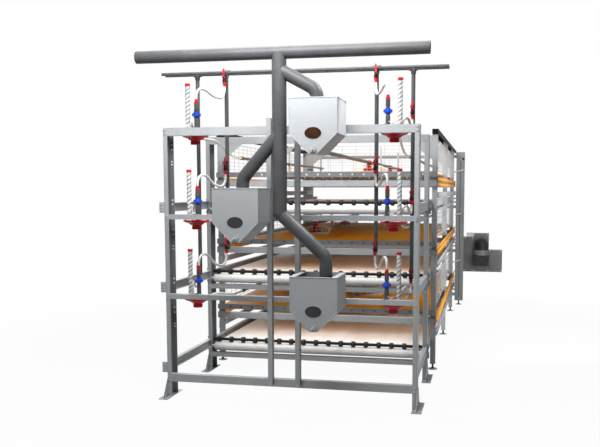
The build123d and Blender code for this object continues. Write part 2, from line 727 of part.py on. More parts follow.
def wire_door(tier, bay):
    """Wire door of one cell on the right side, hung on its hinge rod by three knuckles."""
    length = BAY_LENGTH - LEG_DEPTH - 2 * DOOR_GAP
    middle_y = LEG_ROWS[bay] + BAY_LENGTH / 2
    hinge = hinge_height(tier)
    bottom = floor_top(tier) + DOOR_GAP
    top = hinge - DOOR_TOP_GAP
    plane = Plane(origin=(DOOR_X - WIRE / 2, middle_y, (bottom + top) / 2), x_dir=Y_AXIS, z_dir=X_AXIS)
    door = extrude(plane * wire_grid(length, top - bottom, GRID_COLUMNS, GRID_ROWS), amount=WIRE)
    for knuckle in range(KNUCKLES):
        y = middle_y + (knuckle - (KNUCKLES - 1) / 2) * (length - KNUCKLE_LENGTH) / KNUCKLES
        start = y - KNUCKLE_LENGTH / 2
        door += slab((DOOR_X - WIRE / 2, DOOR_X + WIRE / 2), (start, start + KNUCKLE_LENGTH),
                     (top - WIRE, hinge))
        door += rod((DOOR_X, start, hinge), Y_AXIS, KNUCKLE_LENGTH, KNUCKLE_RADIUS)
        door -= rod((DOOR_X, start, hinge), Y_AXIS, KNUCKLE_LENGTH, HINGE_RADIUS + RUNNING_GAP)
    return door


def rear_frame():
    """Wide uprights at the drive end, cross beams, and the bearing plates of the drive rollers."""
    pieces = []
    for side in SIDES:
        middle = side * (REAR_INNER + REAR_OUTER) / 2
        upright = channel((middle, REAR_Y, REAR_LIFT), Z_AXIS, Y_AXIS, CAGE_HEIGHT - REAR_DROP - REAR_LIFT,
                          REAR_WIDTH, REAR_DEPTH, FRAME_WALL)
        upright += slab((side * REAR_INNER, side * REAR_OUTER), (REAR_Y, REAR_Y + REAR_DEPTH),
                        (REAR_LIFT, REAR_LIFT + LEG_PLATE))
        plate_reach = HALF_WIDTH + BEARING_THICK
        for tier in range(TIERS):
            height = roller_axis(tier)
            upright -= rod((side * REAR_INNER, REAR_AXIS, height), (side, 0, 0), FRAME_WALL, JOURNAL_HOLE)
            plate = slab((side * HALF_WIDTH, side * plate_reach), (REAR_Y, REAR_Y + REAR_DEPTH),
                         (height - JOURNAL_RADIUS - BEARING_MARGIN, belt_top(tier) + SIDE_RAIL_HEIGHT / 2))
            plate -= rod((side * HALF_WIDTH, REAR_AXIS, height), (side, 0, 0), BEARING_THICK,
                         JOURNAL_RADIUS + RUNNING_GAP)
            plate += slab((side * plate_reach, side * REAR_INNER), (REAR_Y, REAR_Y + SPACER_WIDTH),
                          (belt_top(tier), belt_top(tier) + SPACER_WIDTH))
            pieces.append(plate)
        pieces.append(upright)
    under_belt = 2 * BELT_SPAN + UNDER_BEAM_DROP + REAR_BEAM_HEIGHT / 2
    beam_middles = [belt_top(tier) - under_belt for tier in range(TIERS)]
    for middle in beam_middles + [STRIP_BOTTOM - STRIP_GAP - REAR_BEAM_HEIGHT / 2]:
        pieces.append(channel((-REAR_INNER, REAR_Y, middle), X_AXIS, Y_AXIS, 2 * REAR_INNER,
                              REAR_BEAM_HEIGHT, REAR_BEAM_HEIGHT, FRAME_WALL))
    return pieces


def drive_housing():
    """Stepped sheet-metal chain case beside the right rear upright."""
    start = REAR_OUTER
    case = None
    for width, height in DRIVE_BOXES:
        box = slab((start, start + width), (DRIVE_FRONT, DRIVE_FRONT + DRIVE_DEPTH),
                   (DRIVE_FLOOR, DRIVE_FLOOR + height))
        case = box if case is None else case + box
        start += width
    return case


def drive_motor():
    """Upright gear motor: tapered gearbox, round body and a domed fan cowl."""
    y = DRIVE_FRONT - MOTOR_RADIUS
    depth = 2 * MOTOR_RADIUS
    foot = Pos(MOTOR_X, y, MOTOR_BASE) * Rectangle(GEARBOX_FOOT, depth)
    head = Pos(MOTOR_X, y, MOTOR_BASE + GEARBOX_HEIGHT) * Rectangle(GEARBOX_WIDTH, depth)
    gearbox = loft([foot, head])
    band_base = MOTOR_BASE + GEARBOX_HEIGHT
    body = rod((MOTOR_X, y, band_base), Z_AXIS, MOTOR_BAND + MOTOR_COWL, MOTOR_RADIUS)
    dome_base = band_base + MOTOR_BAND + MOTOR_COWL
    upper_half = (Align.CENTER, Align.CENTER, Align.MIN)
    dome = Pos(MOTOR_X, y, dome_base) * Sphere(MOTOR_RADIUS, arc_size1=0, align=upper_half)
    return gearbox + body + dome


def branch_seat(shift):
    """Depth below a hopper's top at which a branch's rim rests on the sloped wall."""
    slope = (HOPPER_HEIGHT - HOPPER_WALL_HEIGHT) / ((HOPPER_WIDTH - HOPPER_FLAT) / 2)
    rim = HOPPER_WIDTH / 2 - abs(shift) - BRANCH_RADIUS
    return HOPPER_WALL_HEIGHT + rim * slope - (HOPPER_SHEET + SEAT_GAP) * math.hypot(1, slope)


def branch_routes():
    """Centre lines of the feed branches. The lowest rests in its hopper, the others end below the rim."""
    routes = []
    for tier, (shift, rise, fall) in enumerate(BRANCHES):
        end_x = hopper_x(tier) + shift
        top = HOPPER_TOP + TIER_PITCH * tier
        elbow = top + rise
        start = elbow + abs(end_x - DROP_X) * fall
        dip = branch_seat(shift) if tier == 0 else BRANCH_DIP
        routes.append([(DROP_X, FEED_Y, start), (end_x, FEED_Y, elbow), (end_x, FEED_Y, top - dip)])
    return routes


def feed_piping():
    """Main feed pipe with spigot ends, and the drop pipe whose branches turn down into the hoppers."""
    start = (-FEED_PIPE_HALF, FEED_Y, FEED_PIPE_Z)
    length = 2 * FEED_PIPE_HALF
    core = length - 2 * SPIGOT_LENGTH
    main = rod(start, X_AXIS, length, FEED_PIPE_RADIUS - SPIGOT_STEP)
    main += rod((SPIGOT_LENGTH - FEED_PIPE_HALF, FEED_Y, FEED_PIPE_Z), X_AXIS, core, FEED_PIPE_RADIUS)
    main -= rod(start, X_AXIS, length, FEED_PIPE_RADIUS - FEED_PIPE_WALL)
    bore = DROP_RADIUS - FEED_PIPE_WALL
    routes = branch_routes()
    drop_end = routes[0][0][2]
    drop_length = FEED_PIPE_Z - drop_end
    down = (0, 0, -1)
    top = (DROP_X, FEED_Y, FEED_PIPE_Z)
    main -= rod(top, down, FEED_PIPE_RADIUS + FEED_PIPE_WALL, FEED_PIPE_RADIUS - 2 * FEED_PIPE_WALL)
    outer = rod(top, down, drop_length, DROP_RADIUS)
    outer += Pos(DROP_X, FEED_Y, drop_end) * Sphere(DROP_RADIUS)
    inner = rod(top, down, drop_length, bore)
    inner += Pos(DROP_X, FEED_Y, drop_end) * Sphere(bore)
    for route in routes:
        outer += hose(route, BRANCH_BEND, BRANCH_RADIUS)
        inner += hose(route, BRANCH_BEND, BRANCH_RADIUS - FEED_PIPE_WALL)
    saddle = rod(start, X_AXIS, length, FEED_PIPE_RADIUS + SEAT_GAP)
    return [main, outer - inner - saddle]


def hopper(tier):
    """Open-topped sheet-metal hopper with a V trough, an oval sight window and an auger bearing."""
    x = hopper_x(tier)
    top = HOPPER_TOP + TIER_PITCH * tier
    bottom = hopper_bottom(tier)
    shoulder = top - HOPPER_WALL_HEIGHT
    half = HOPPER_WIDTH / 2
    flat = HOPPER_FLAT / 2
    outline = make_face(Polyline((-half, top), (-half, shoulder), (-flat, bottom), (flat, bottom),
                                 (half, shoulder), (half, top), close=True))
    inner_outline = offset(outline, amount=-HOPPER_SHEET, kind=Kind.INTERSECTION)
    front = Plane(origin=(x, HOPPER_FRONT, 0), x_dir=X_AXIS, z_dir=(0, -1, 0))
    inside = front.offset(-HOPPER_SHEET)
    shell = extrude(front * outline, amount=-HOPPER_DEPTH)
    shell -= extrude(inside * inner_outline, amount=2 * HOPPER_SHEET - HOPPER_DEPTH)
    shell -= slab((x - half + HOPPER_LIP, x + half - HOPPER_LIP),
                  (HOPPER_FRONT + HOPPER_SHEET, POST_FRONT - HOPPER_SHEET), (top - 2 * HOPPER_SHEET, top))
    window = Plane(origin=(x, HOPPER_FRONT, shoulder), x_dir=X_AXIS, z_dir=(0, -1, 0))
    shell -= extrude(window * Ellipse(WINDOW_WIDTH / 2, WINDOW_HEIGHT / 2), amount=-HOPPER_SHEET)
    post_x = POST_CENTRES[1] if HOPPER_SIDES[tier] > 0 else POST_CENTRES[0]
    inner_edge = x - HOPPER_SIDES[tier] * half
    far_edge = post_x - HOPPER_SIDES[tier] * POST_WIDTH / 2
    shell += slab((far_edge, inner_edge), (POST_FRONT - HOPPER_SHEET, POST_FRONT), (shoulder, top))
    axis = auger_height(tier)
    shell += rod((x, HOPPER_FRONT - BOSS_LENGTH, axis), Y_AXIS, BOSS_LENGTH, BOSS_RADIUS)
    shell -= rod((x, HOPPER_FRONT - BOSS_LENGTH, axis), Y_AXIS, BOSS_LENGTH + HOPPER_SHEET,
                 AUGER_SHAFT_RADIUS + RUNNING_GAP)
    tube_bore = FEED_TUBE_RADIUS - FEED_TUBE_WALL
    shell -= rod((x, POST_FRONT - HOPPER_SHEET, axis), Y_AXIS, HOPPER_SHEET, tube_bore)
    return shell


def auger(tier):
    """Feed screw: a shaft with half-round flights, leaning by turns to follow the pitch."""
    x = hopper_x(tier)
    z = auger_height(tier)
    start = HOPPER_FRONT - BOSS_LENGTH - AUGER_STUB
    end = POST_FRONT + AUGER_TAIL
    screw = rod((x, start, z), Y_AXIS, end - start, AUGER_SHAFT_RADIUS)
    first = HOPPER_FRONT + FLIGHT_LEAD
    pitch = (end - first) / (AUGER_TURNS + 1)
    tilt = math.atan2(FLIGHT_SHARE * pitch / 2, 2 * AUGER_RADIUS)
    blank = Pos(AUGER_RADIUS, 0) * Rectangle(2 * AUGER_RADIUS, 2 * pitch)
    envelope = rod((x, first, z), Y_AXIS, end - first, AUGER_RADIUS)
    for half_turn in range(2 * AUGER_TURNS):
        side = 1 if half_turn % 2 == 0 else -1
        lean = (0, math.cos(tilt), -side * math.sin(tilt))
        plane = Plane(origin=(x, first + pitch * (half_turn + 1) / 2, z), x_dir=(side, 0, 0), z_dir=lean)
        screw += extrude(plane * blank, amount=FLIGHT_THICK / 2, both=True) & envelope
    return screw


def feed_tube(tier):
    """Auger tube from the back of a hopper along the whole cage."""
    length = LINE_END - POST_FRONT
    return pipe((hopper_x(tier), POST_FRONT, auger_height(tier)), Y_AXIS, length,
                FEED_TUBE_RADIUS, FEED_TUBE_RADIUS - FEED_TUBE_WALL)


def feed_pan(tier, bay):
    """Round feeding pan with a feed drum, arched guard spokes, and a sleeve on the feed tube."""
    axis = auger_height(tier) - floor_top(tier)
    neck = axis - PAN_NECK_DROP
    base = PAN_RADIUS - PAN_FLARE
    pan = turned(((0, 0), (base, 0), (PAN_RADIUS, PAN_HEIGHT), (PAN_RADIUS - PAN_WALL, PAN_HEIGHT),
                  (base - PAN_WALL, PAN_WALL), (PAN_DRUM_RADIUS, PAN_WALL),
                  (PAN_DRUM_RADIUS, PAN_DRUM_HEIGHT), (PAN_NECK_RADIUS, PAN_DRUM_HEIGHT),
                  (PAN_NECK_RADIUS, neck), (0, neck)), 0, 0)
    rim, rim_top = PAN_RADIUS - GUARD_SINK, PAN_HEIGHT - PAN_WALL
    root, crown = PAN_NECK_RADIUS - PAN_WALL, GUARD_HEIGHT - PAN_WALL
    outline = Polyline((root, GUARD_HEIGHT), (GUARD_SHOULDER, GUARD_HEIGHT), (rim, rim_top),
                       (rim, rim_top - PAN_WALL), (GUARD_SHOULDER, crown), (root, crown), close=True)
    spoke = extrude(Plane.XZ * make_face(outline), amount=PAN_WALL / 2, both=True)
    for arm in range(PAN_SPOKES):
        pan += Rot(0, 0, (arm + 0.5) * 360 / PAN_SPOKES) * spoke
    half_sleeve = PAN_NECK_RADIUS + PAN_SLEEVE_REACH
    pan += rod((0, -half_sleeve, axis), Y_AXIS, 2 * half_sleeve, FEED_TUBE_RADIUS + PAN_SLEEVE_WALL)
    pan -= rod((0, -PAN_RADIUS, axis), Y_AXIS, 2 * PAN_RADIUS, FEED_TUBE_RADIUS + SEAT_GAP)
    return Pos(hopper_x(tier), LEG_ROWS[bay] + BAY_LENGTH / 2, floor_top(tier)) * pan


def nipple_height(tier):
    """Axis of a tier's drinking lines."""
    return floor_top(tier) + NIPPLE_RISE


def inner_valve_height(tier):
    """Middle of the shut-off valve that feeds a regulator."""
    return beam_top(tier) + INNER_VALVE_RISE[tier]


def outer_valve_height(tier):
    """Middle of the flushing valve beside a regulator."""
    return beam_top(tier) + OUTER_VALVE_RISE


def valve_places():
    """Every valve as a name, its pipe's place and its height."""
    places = []
    for tier in range(TIERS):
        for side in SIDES:
            name = f"{TIER_NAMES[tier]}_{SIDE_NAMES[side]}"
            places.append((f"shutoff_lever_{name}", side, INNER_DROP, inner_valve_height(tier)))
            places.append((f"flush_lever_{name}", side, OUTER_DROP, outer_valve_height(tier)))
    return places


def water_pipes():
    """Two supply pipes with spigot ends, four drop pipes and the drinking lines."""
    pipes = []
    for _, y in (INNER_DROP, OUTER_DROP):
        supply = rod((-SUPPLY_HALF, y, SUPPLY_Z), X_AXIS, 2 * SUPPLY_HALF, SUPPLY_RADIUS - SEAT_GAP)
        supply += rod((WATER_SPIGOT - SUPPLY_HALF, y, SUPPLY_Z), X_AXIS, 2 * (SUPPLY_HALF - WATER_SPIGOT),
                      SUPPLY_RADIUS)
        pipes.append(supply)
    drop_ends = ((INNER_DROP, inner_valve_height(0)), (OUTER_DROP, outer_valve_height(0)))
    for (x, y), middle in drop_ends:
        bottom = middle - VALVE_HEIGHT / 2
        for side in SIDES:
            drop = rod((side * x, y, bottom), Z_AXIS, SUPPLY_Z - bottom, DROP_PIPE_RADIUS)
            saddle = rod((-SUPPLY_HALF, y, SUPPLY_Z), X_AXIS, 2 * SUPPLY_HALF, SUPPLY_RADIUS + SEAT_GAP)
            pipes.append(drop - saddle)
    for tier in range(TIERS):
        for side in SIDES:
            start = (side * NIPPLE_X, NIPPLE_START, nipple_height(tier))
            pipes.append(rod(start, Y_AXIS, LINE_END - NIPPLE_START, NIPPLE_RADIUS))
    return pipes


def valve_body(side, place, height):
    """Ball-valve body in front of its drop pipe, joined to it by a stub."""
    x = side * place[0]
    y = place[1] - VALVE_FORWARD
    body = rod((x, y, height - VALVE_HEIGHT / 2), Z_AXIS, VALVE_HEIGHT, VALVE_RADIUS)
    body += rod((x, y, height + VALVE_HEIGHT / 4), Y_AXIS, VALVE_FORWARD, STUB_RADIUS)
    body -= rod((x, place[1], height - VALVE_HEIGHT), Z_AXIS, 2 * VALVE_HEIGHT, DROP_PIPE_RADIUS + SEAT_GAP)
    socket = y - VALVE_RADIUS
    return body - rod((x, socket, height), Y_AXIS, SPINDLE_LENGTH + SEAT_GAP, SPINDLE_RADIUS + RUNNING_GAP)


def valve_lever(side, place, height):
    """Lever with a hub and a spindle that turns in the valve body, upright when open."""
    x = side * place[0]
    face = place[1] - VALVE_FORWARD - VALVE_RADIUS - SEAT_GAP
    lever = rod((x, face - LEVER_THICK, height), Y_AXIS, LEVER_THICK, LEVER_HUB_RADIUS)
    lever += slab((x - LEVER_WIDTH / 2, x + LEVER_WIDTH / 2), (face - LEVER_THICK, face),
                  (height, height + LEVER_LENGTH))
    lever += rod((x, face - LEVER_THICK, height + LEVER_LENGTH), Y_AXIS, LEVER_THICK, LEVER_WIDTH / 2)
    return lever + rod((x, face, height), Y_AXIS, SPINDLE_LENGTH, SPINDLE_RADIUS)


def barbed_tail(x, y, bottom, flip):
    """Ribbed hose tail, wide collar at one end."""
    top = bottom + TAIL_LENGTH
    collar = bottom + (TAIL_LENGTH - TAIL_COLLAR if flip else TAIL_COLLAR)
    low, high = (TAIL_NECK, TAIL_RADIUS) if flip else (TAIL_RADIUS, TAIL_NECK)
    return turned(((0, bottom), (low, bottom), (low, collar), (high, collar), (high, top), (0, top)), x, y)


def regulator_top(tier):
    """Upper face of a regulator dome."""
    return beam_top(tier) - REGULATOR_DROP


def regulator_column(tier, side):
    """Filter column on a regulator, waisted, with a clamp that rests on the front beam."""
    base = regulator_top(tier)
    beam = beam_top(tier)
    neck_low = beam + UNION_RISE
    neck_high = neck_low + UNION_HEIGHT
    top = beam + COLUMN_RISE
    points = ((0, base), (COLUMN_RADIUS, base), (COLUMN_RADIUS, neck_low - COLUMN_RADIUS),
              (COLUMN_WAIST, neck_low), (COLUMN_WAIST, neck_high),
              (COLUMN_RADIUS, neck_high + COLUMN_RADIUS), (COLUMN_RADIUS, top), (0, top))
    column = turned(points, side * COLUMN_X, COLUMN_Y)
    clamp = slab((side * COLUMN_X - CLAMP_WIDTH / 2, side * COLUMN_X + CLAMP_WIDTH / 2),
                 (BEAM_BACK - CLAMP_REACH, COLUMN_Y), (beam, beam + CLAMP_THICK))
    return column + clamp


def regulator_union(tier, side):
    """Blue union nut round the column's waist."""
    low = beam_top(tier) + UNION_RISE
    high = low + UNION_HEIGHT
    bore = COLUMN_WAIST + SEAT_GAP
    ring = pipe((side * COLUMN_X, COLUMN_Y, low), Z_AXIS, high - low, UNION_RADIUS, bore)
    cut = UNION_HEIGHT / 4
    for base in (low, high - cut):
        ring -= pipe((side * COLUMN_X, COLUMN_Y, base), Z_AXIS, cut, UNION_RADIUS, UNION_RADIUS - cut)
    return ring


def regulator_dome(tier, side):
    """Round diaphragm housing with a hollowed underside, a knob, and an outlet at its back."""
    top = regulator_top(tier)
    cone = top - DOME_DEPTH
    knob = cone - KNOB_DEPTH
    waist, depth = DOME_WAIST
    points = ((0, top), (DOME_RADIUS, top), (DOME_RADIUS, top - DOME_RIM), (waist, top - depth),
              (DOME_NECK, cone), (KNOB_RADIUS, cone), (KNOB_RADIUS, knob), (0, knob))
    dome = turned(points, side * REGULATOR_X, REGULATOR_Y)
    return dome + rod((side * REGULATOR_X, REGULATOR_Y, top - OUTLET_DROP), Y_AXIS,
                      OUTLET_END - REGULATOR_Y, STUB_RADIUS)


def sight_tube(tier, side):
    """Clear level tube that stands on the regulator."""
    base = regulator_top(tier)
    length = beam_top(tier) + SIGHT_RISE - base
    return pipe((side * SIGHT_X, SIGHT_Y, base), Z_AXIS, length, SIGHT_RADIUS, SIGHT_RADIUS - SIGHT_WALL)


def red_fittings():
    """Sight-tube caps and the hose tails of valves and columns."""
    pieces = []
    for tier in range(TIERS):
        for side in SIDES:
            cap_base = (side * SIGHT_X, SIGHT_Y, beam_top(tier) + SIGHT_RISE)
            pieces.append(rod(cap_base, Z_AXIS, CAP_HEIGHT, CAP_RADIUS))
            pieces.append(barbed_tail(side * COLUMN_X, COLUMN_Y, beam_top(tier) + COLUMN_RISE, False))
            valves = ((INNER_DROP, inner_valve_height(tier)), (OUTER_DROP, outer_valve_height(tier)))
            for place, height in valves:
                bottom = height - VALVE_HEIGHT / 2 - TAIL_LENGTH
                pieces.append(barbed_tail(side * place[0], place[1] - VALVE_FORWARD, bottom, True))
    return pieces


def hose_routes(tier, side):
    """Points of the three hoses at one regulator, by name."""
    crown = beam_top(tier) + COLUMN_RISE + TAIL_LENGTH
    x, y = side * INNER_DROP[0], INNER_DROP[1] - VALVE_FORWARD
    outlet = inner_valve_height(tier) - VALVE_HEIGHT / 2 - TAIL_LENGTH
    sag = outlet - SUPPLY_SAG
    column = side * COLUMN_X
    back, along, up = SUPPLY_RISE_POINT
    supply = [(x, y, outlet), (x, y, sag), (x + side * SUPPLY_SWING[0], y + SUPPLY_SWING[1], sag),
              (column + side * back, COLUMN_Y + along, crown + up),
              (column, COLUMN_Y, crown + SUPPLY_CREST), (column, COLUMN_Y, crown)]
    x, y = side * OUTER_DROP[0], OUTER_DROP[1] - VALVE_FORWARD
    outlet = outer_valve_height(tier) - VALVE_HEIGHT / 2 - TAIL_LENGTH
    beam, dome = beam_top(tier), regulator_top(tier)
    landing = (side * (REGULATOR_X + FLUSH_LANDING[0]), REGULATOR_Y + FLUSH_LANDING[1])
    flush = [(x, y, outlet), (x, y, outlet - FLUSH_LEAD)]
    flush += [(x + side * out, y + along, beam + up) for out, along, up in (FLUSH_DIP, FLUSH_CREST)]
    flush += [(*landing, beam + FLUSH_TOP), (*landing, dome)]
    x, start, end = side * REGULATOR_X, dome - OUTLET_DROP, nipple_height(tier)
    delivery = [(x, OUTLET_END, start)]
    for share, out, fall in DELIVERY_STEPS:
        delivery.append((x + side * out, OUTLET_END + (NIPPLE_START - OUTLET_END) * share,
                         start + (end - start) * fall))
    delivery.append((side * NIPPLE_X, NIPPLE_START, end))
    return {"supply": supply, "flush": flush, "delivery": delivery}


def water_hoses():
    """White hoses of all regulators. Prints the length, bends and volume share of each."""
    hoses = []
    for tier in range(TIERS):
        for side in SIDES:
            for name, points in hose_routes(tier, side).items():
                radii = bend_radii(points)
                tube = hose(points, radii, HOSE_RADIUS)
                length = FilletPolyline(*points, radius=radii).length
                share = tube.volume / (math.pi * HOSE_RADIUS ** 2 * length)
                bends = ", ".join(f"{radius:.0f}" for radius in radii)
                print(f"{name} hose {tier} {side}: {length:.0f} mm, bends {bends}, volume {share:.4f}")
                hoses.append(tube)
    return hoses


def build():
    """Every node as a name and its list of separate solids."""
    tiers = range(TIERS)
    pairs = [(tier, side) for tier in tiers for side in SIDES]
    nodes = {
        "front_uprights": front_uprights(),
        "front_cross_beams": front_beams(),
        "feeder_posts": feeder_posts(),
        "roller_frame": roller_frame(),
        "long_rails": long_rails(),
        "cage_legs": cage_legs(),
        "levelling_feet": levelling_feet(),
        "cross_members": cross_members(),
        "cage_floors": [cage_floor(tier) for tier in tiers],
        "side_curbs": side_curbs(),
        "top_strips": top_strips(),
        "manure_belts": [manure_belt(tier) for tier in tiers],
        "wire_panels": wire_panels(),
        "rear_frame": rear_frame(),
        "drive_housing": [drive_housing()],
        "drive_motor": [drive_motor()],
        "feed_pipes": feed_piping(),
        "feed_tubes": [feed_tube(tier) for tier in tiers],
        "feed_pans": [feed_pan(tier, bay) for tier in tiers for bay in range(BAYS)],
        "water_pipes": water_pipes(),
        "valve_bodies": [valve_body(*place) for _, *place in valve_places()],
        "water_hoses": water_hoses(),
        "regulator_columns": [regulator_column(*pair) for pair in pairs],
        "regulator_unions": [regulator_union(*pair) for pair in pairs],
        "regulator_domes": [regulator_dome(*pair) for pair in pairs],
        "sight_tubes": [sight_tube(*pair) for pair in pairs],
        "red_fittings": red_fittings(),
    }
    for tier in tiers:
        name = TIER_NAMES[tier]
        nodes[f"hopper_{name}"] = [hopper(tier)]
        nodes[f"auger_{name}"] = [auger(tier)]
        nodes[f"idle_roller_{name}"] = [front_roller(tier)]
        nodes[f"drive_roller_{name}"] = [rear_roller(tier)]
        nodes[f"ring_shaft_{name}"] = [ring_shaft(tier)]
        for bay in range(BAYS):
            nodes[f"door_{name}_{bay + 1}"] = [wire_door(tier, bay)]
    for name, *place in valve_places():
        nodes[name] = [valve_lever(*place)]
    return nodes


def main():
    """Build the cage and write one file per node."""
    os.makedirs("parts", exist_ok=True)
    for name, shapes in build().items():
        solids = solids_of(shapes)
        export_step(solids[0] if len(solids) == 1 else Compound(solids), f"parts/{name}.step")


main()
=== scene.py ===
"""Looks of a three-tier broiler cage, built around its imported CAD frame. Lengths are in metres."""

import logging
import math
from dataclasses import dataclass
from enum import Enum
from functools import cache
from typing import Mapping, Sequence

import bmesh
import bpy
import numpy as np
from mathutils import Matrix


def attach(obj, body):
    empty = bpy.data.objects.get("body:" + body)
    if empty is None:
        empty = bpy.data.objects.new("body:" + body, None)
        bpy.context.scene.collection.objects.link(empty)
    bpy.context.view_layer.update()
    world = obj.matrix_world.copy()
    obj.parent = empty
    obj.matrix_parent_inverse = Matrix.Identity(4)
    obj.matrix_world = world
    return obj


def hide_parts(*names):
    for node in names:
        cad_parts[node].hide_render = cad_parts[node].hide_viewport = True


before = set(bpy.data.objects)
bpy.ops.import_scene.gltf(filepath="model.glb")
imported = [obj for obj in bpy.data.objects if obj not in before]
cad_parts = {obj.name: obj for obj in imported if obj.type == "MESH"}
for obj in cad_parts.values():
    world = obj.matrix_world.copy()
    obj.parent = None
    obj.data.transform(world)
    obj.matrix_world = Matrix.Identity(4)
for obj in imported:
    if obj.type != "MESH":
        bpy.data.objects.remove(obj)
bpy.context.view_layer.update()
LOG = logging.getLogger("cage")

Array = np.ndarray
Colour = tuple[float, float, float, float]
Point = tuple[float, float, float]
Points = tuple[Point, ...]
Pair = tuple[float, float]
Profile = tuple[Pair, ...]
ByTier = tuple[float, float, float]
Pipe = tuple[float, float, float]  # place across, height, radius
Disc = tuple[float, int]  # radius, sides
BoltSize = tuple[float, float]  # radius to a corner, height of the head
PlateSize = tuple[Point, float]  # three sides, chamfer
RibRing = tuple[Point, float, Point, int]  # three sides, chamfer, place of the first, count
CollarSize = tuple[float, float, float, float, int]  # two radii, length, chamfer, sides
Turning = tuple[Profile, int]  # radius and height of each row, sides

TIERS = (0, 1, 2)
TIER_NAMES = ("lower", "middle", "upper")
SIDES = (1, -1)
SIDE_NAMES = {1: "right", -1: "left"}
CORNERS = [(tier, side) for tier in TIERS for side in SIDES]
PITCH = 0.620
X_AXIS: Point = (1.0, 0.0, 0.0)
Y_AXIS: Point = (0.0, 1.0, 0.0)
Z_AXIS: Point = (0.0, 0.0, 1.0)
FORWARD: Point = (0.0, -1.0, 0.0)
EVEN: Point = (1.0, 1.0, 1.0)
WHITE: Colour = (1.0, 1.0, 1.0, 1.0)
FRAME_BODY = "frame"
WIRE_SIDES, ROD_SIDES, BOLT_STEPS, LOOP_STEPS = 6, 8, 12, 48
WASHER_REACH = 1.5  # washer's radius over the bolt's
STEEP = 0.9  # a direction with more than this of an axis counts as along it
WELD = 1e-6  # points closer than this become one
SHARP = math.radians(35)  # edges that turn more than this stay sharp


class Slot(Enum):
    """Material slots of the record."""

    GALVANISED = "galvanised"
    WIRE = "wire"
    FEED_PIPE = "feed_pipe"
    BELT = "belt"
    ROLLER = "roller"
    ORANGE = "orange"
    BLACK = "black"
    STRIP = "strip"
    WATER_PIPE = "water_pipe"
    RED = "red"
    BLUE = "blue"
    HOSE = "hose"
    TUBE = "tube"
    MOTOR = "motor"


class Facing(Enum):
    """The level axis that a wire net is square to."""

    ACROSS = "x"
    ALONG = "y"


def each_tier(base: float) -> ByTier:
    """A height at every tier, one pitch apart."""
    return tuple(base + PITCH * tier for tier in TIERS)


@dataclass(frozen=True)
class Layout:
    """Places of the cage that several sub-assemblies share, as the CAD model has them.

    Pairs are X and Y on the right side, but those of the posts are two places along X, and those
    of the sill are its top and its height.
    """

    half_width: float = 0.980
    frame_depth: float = 0.125
    flange: float = 0.034
    wall: float = 0.003
    beam_middle: float = -0.0345
    posts: Pair = (-0.128, 0.085)
    post_half: float = 0.018
    post_front: float = -0.1085
    hopper_front: float = -0.4465
    roller_y: float = 0.925
    bearing_face: float = 0.992
    leg_rows: tuple[float, ...] = (1.314, 3.054, 4.794)
    leg_outer: float = 1.027
    leg_depth: float = 0.040
    bay: float = 1.740
    door_x: float = 1.012
    sill: Pair = (0.185, 0.060)
    beam_tops: ByTier = (0.819, 1.439, 2.100)
    beam_heights: ByTier = (0.038, 0.038, 0.060)
    regulator: Pair = (0.780, 0.098)
    column: Pair = (0.740, 0.025)
    sight: Pair = (0.826, 0.068)
    dome_drop: float = 0.048
    inner_drop: Pair = (0.610, 0.360)
    outer_drop: Pair = (0.885, 0.440)
    inner_valve: ByTier = (0.366, 0.383, 0.420)
    outer_valve: float = 0.145
    valve_forward: float = 0.045
    nipple_x: float = 0.780
    nipple_start: float = 1.250
    nipple_radius: float = 0.0125
    roller_axis: ByTier = each_tier(0.215)
    under_beam: ByTier = each_tier(0.168)
    ring_axis: ByTier = each_tier(0.2793)
    floor_top: ByTier = each_tier(0.550)
    auger: ByTier = each_tier(0.665)
    nipple: ByTier = each_tier(0.680)
    hinge: ByTier = each_tier(0.832)
    ceiling: ByTier = (0.790, 1.410, 2.122)
    hopper_x: ByTier = (0.283, -0.283, 0.283)
    hopper_top: ByTier = each_tier(1.022)

    def valves(self, tier: int) -> dict[str, Point]:
        """Middles of the two valves on the right side of a tier.

        Args:
            tier: the tier.
        Returns:
            The places, by what the valve is for.
        """
        spots = (("shutoff", self.inner_drop, self.inner_valve[tier]),
                 ("flush", self.outer_drop, self.outer_valve))
        return {kind: (x, y - self.valve_forward, self.beam_tops[tier] + rise)
                for kind, (x, y), rise in spots}

    def regulators(self, spot: Pair, rise: float) -> list[Point]:
        """A place at all six regulators, its height counted from the beam of the tier."""
        return [(side * spot[0], spot[1], self.beam_tops[tier] + rise) for tier, side in CORNERS]


AT = Layout()


# Shader maths


def srgb(code: str) -> Colour:
    """Linear colour of a six-digit code, by the usual sRGB curve."""
    part = np.array([int(code[i:i + 2], 16) for i in (0, 2, 4)]) / 255
    return (*np.where(part <= 0.04045, part / 12.92, ((part + 0.055) / 1.055) ** 2.4).tolist(), 1.0)


class Signal:
    """A shader socket that takes part in Python sums."""

    def __init__(self, tree: "ShaderTree", socket: bpy.types.NodeSocket) -> None:
        """Keep the socket and the tree it belongs to."""
        self.tree = tree
        self.socket = socket

    def __add__(self, other: "Signal | float") -> "Signal":
        """Sum."""
        return self.tree.math("ADD", self, other)

    def __sub__(self, other: "Signal | float") -> "Signal":
        """Difference."""
        return self.tree.math("SUBTRACT", self, other)

    def __rsub__(self, other: float) -> "Signal":
        """Difference from a number."""
        return self.tree.math("SUBTRACT", other, self)

    def __mul__(self, other: "Signal | float") -> "Signal":
        """Product."""
        return self.tree.math("MULTIPLY", self, other)

    def __abs__(self) -> "Signal":
        """Size without sign."""
        return self.tree.math("ABSOLUTE", self, 0.0)

    __radd__ = __add__
    __rmul__ = __mul__

    def between(self, low: float, high: float) -> "Signal":
        """Smooth step from 0 at low to 1 at high."""
        return self.tree.value("ShaderNodeMapRange", {"interpolation_type": "SMOOTHSTEP"},
                               {"Value": self, "From Min": low, "From Max": high})


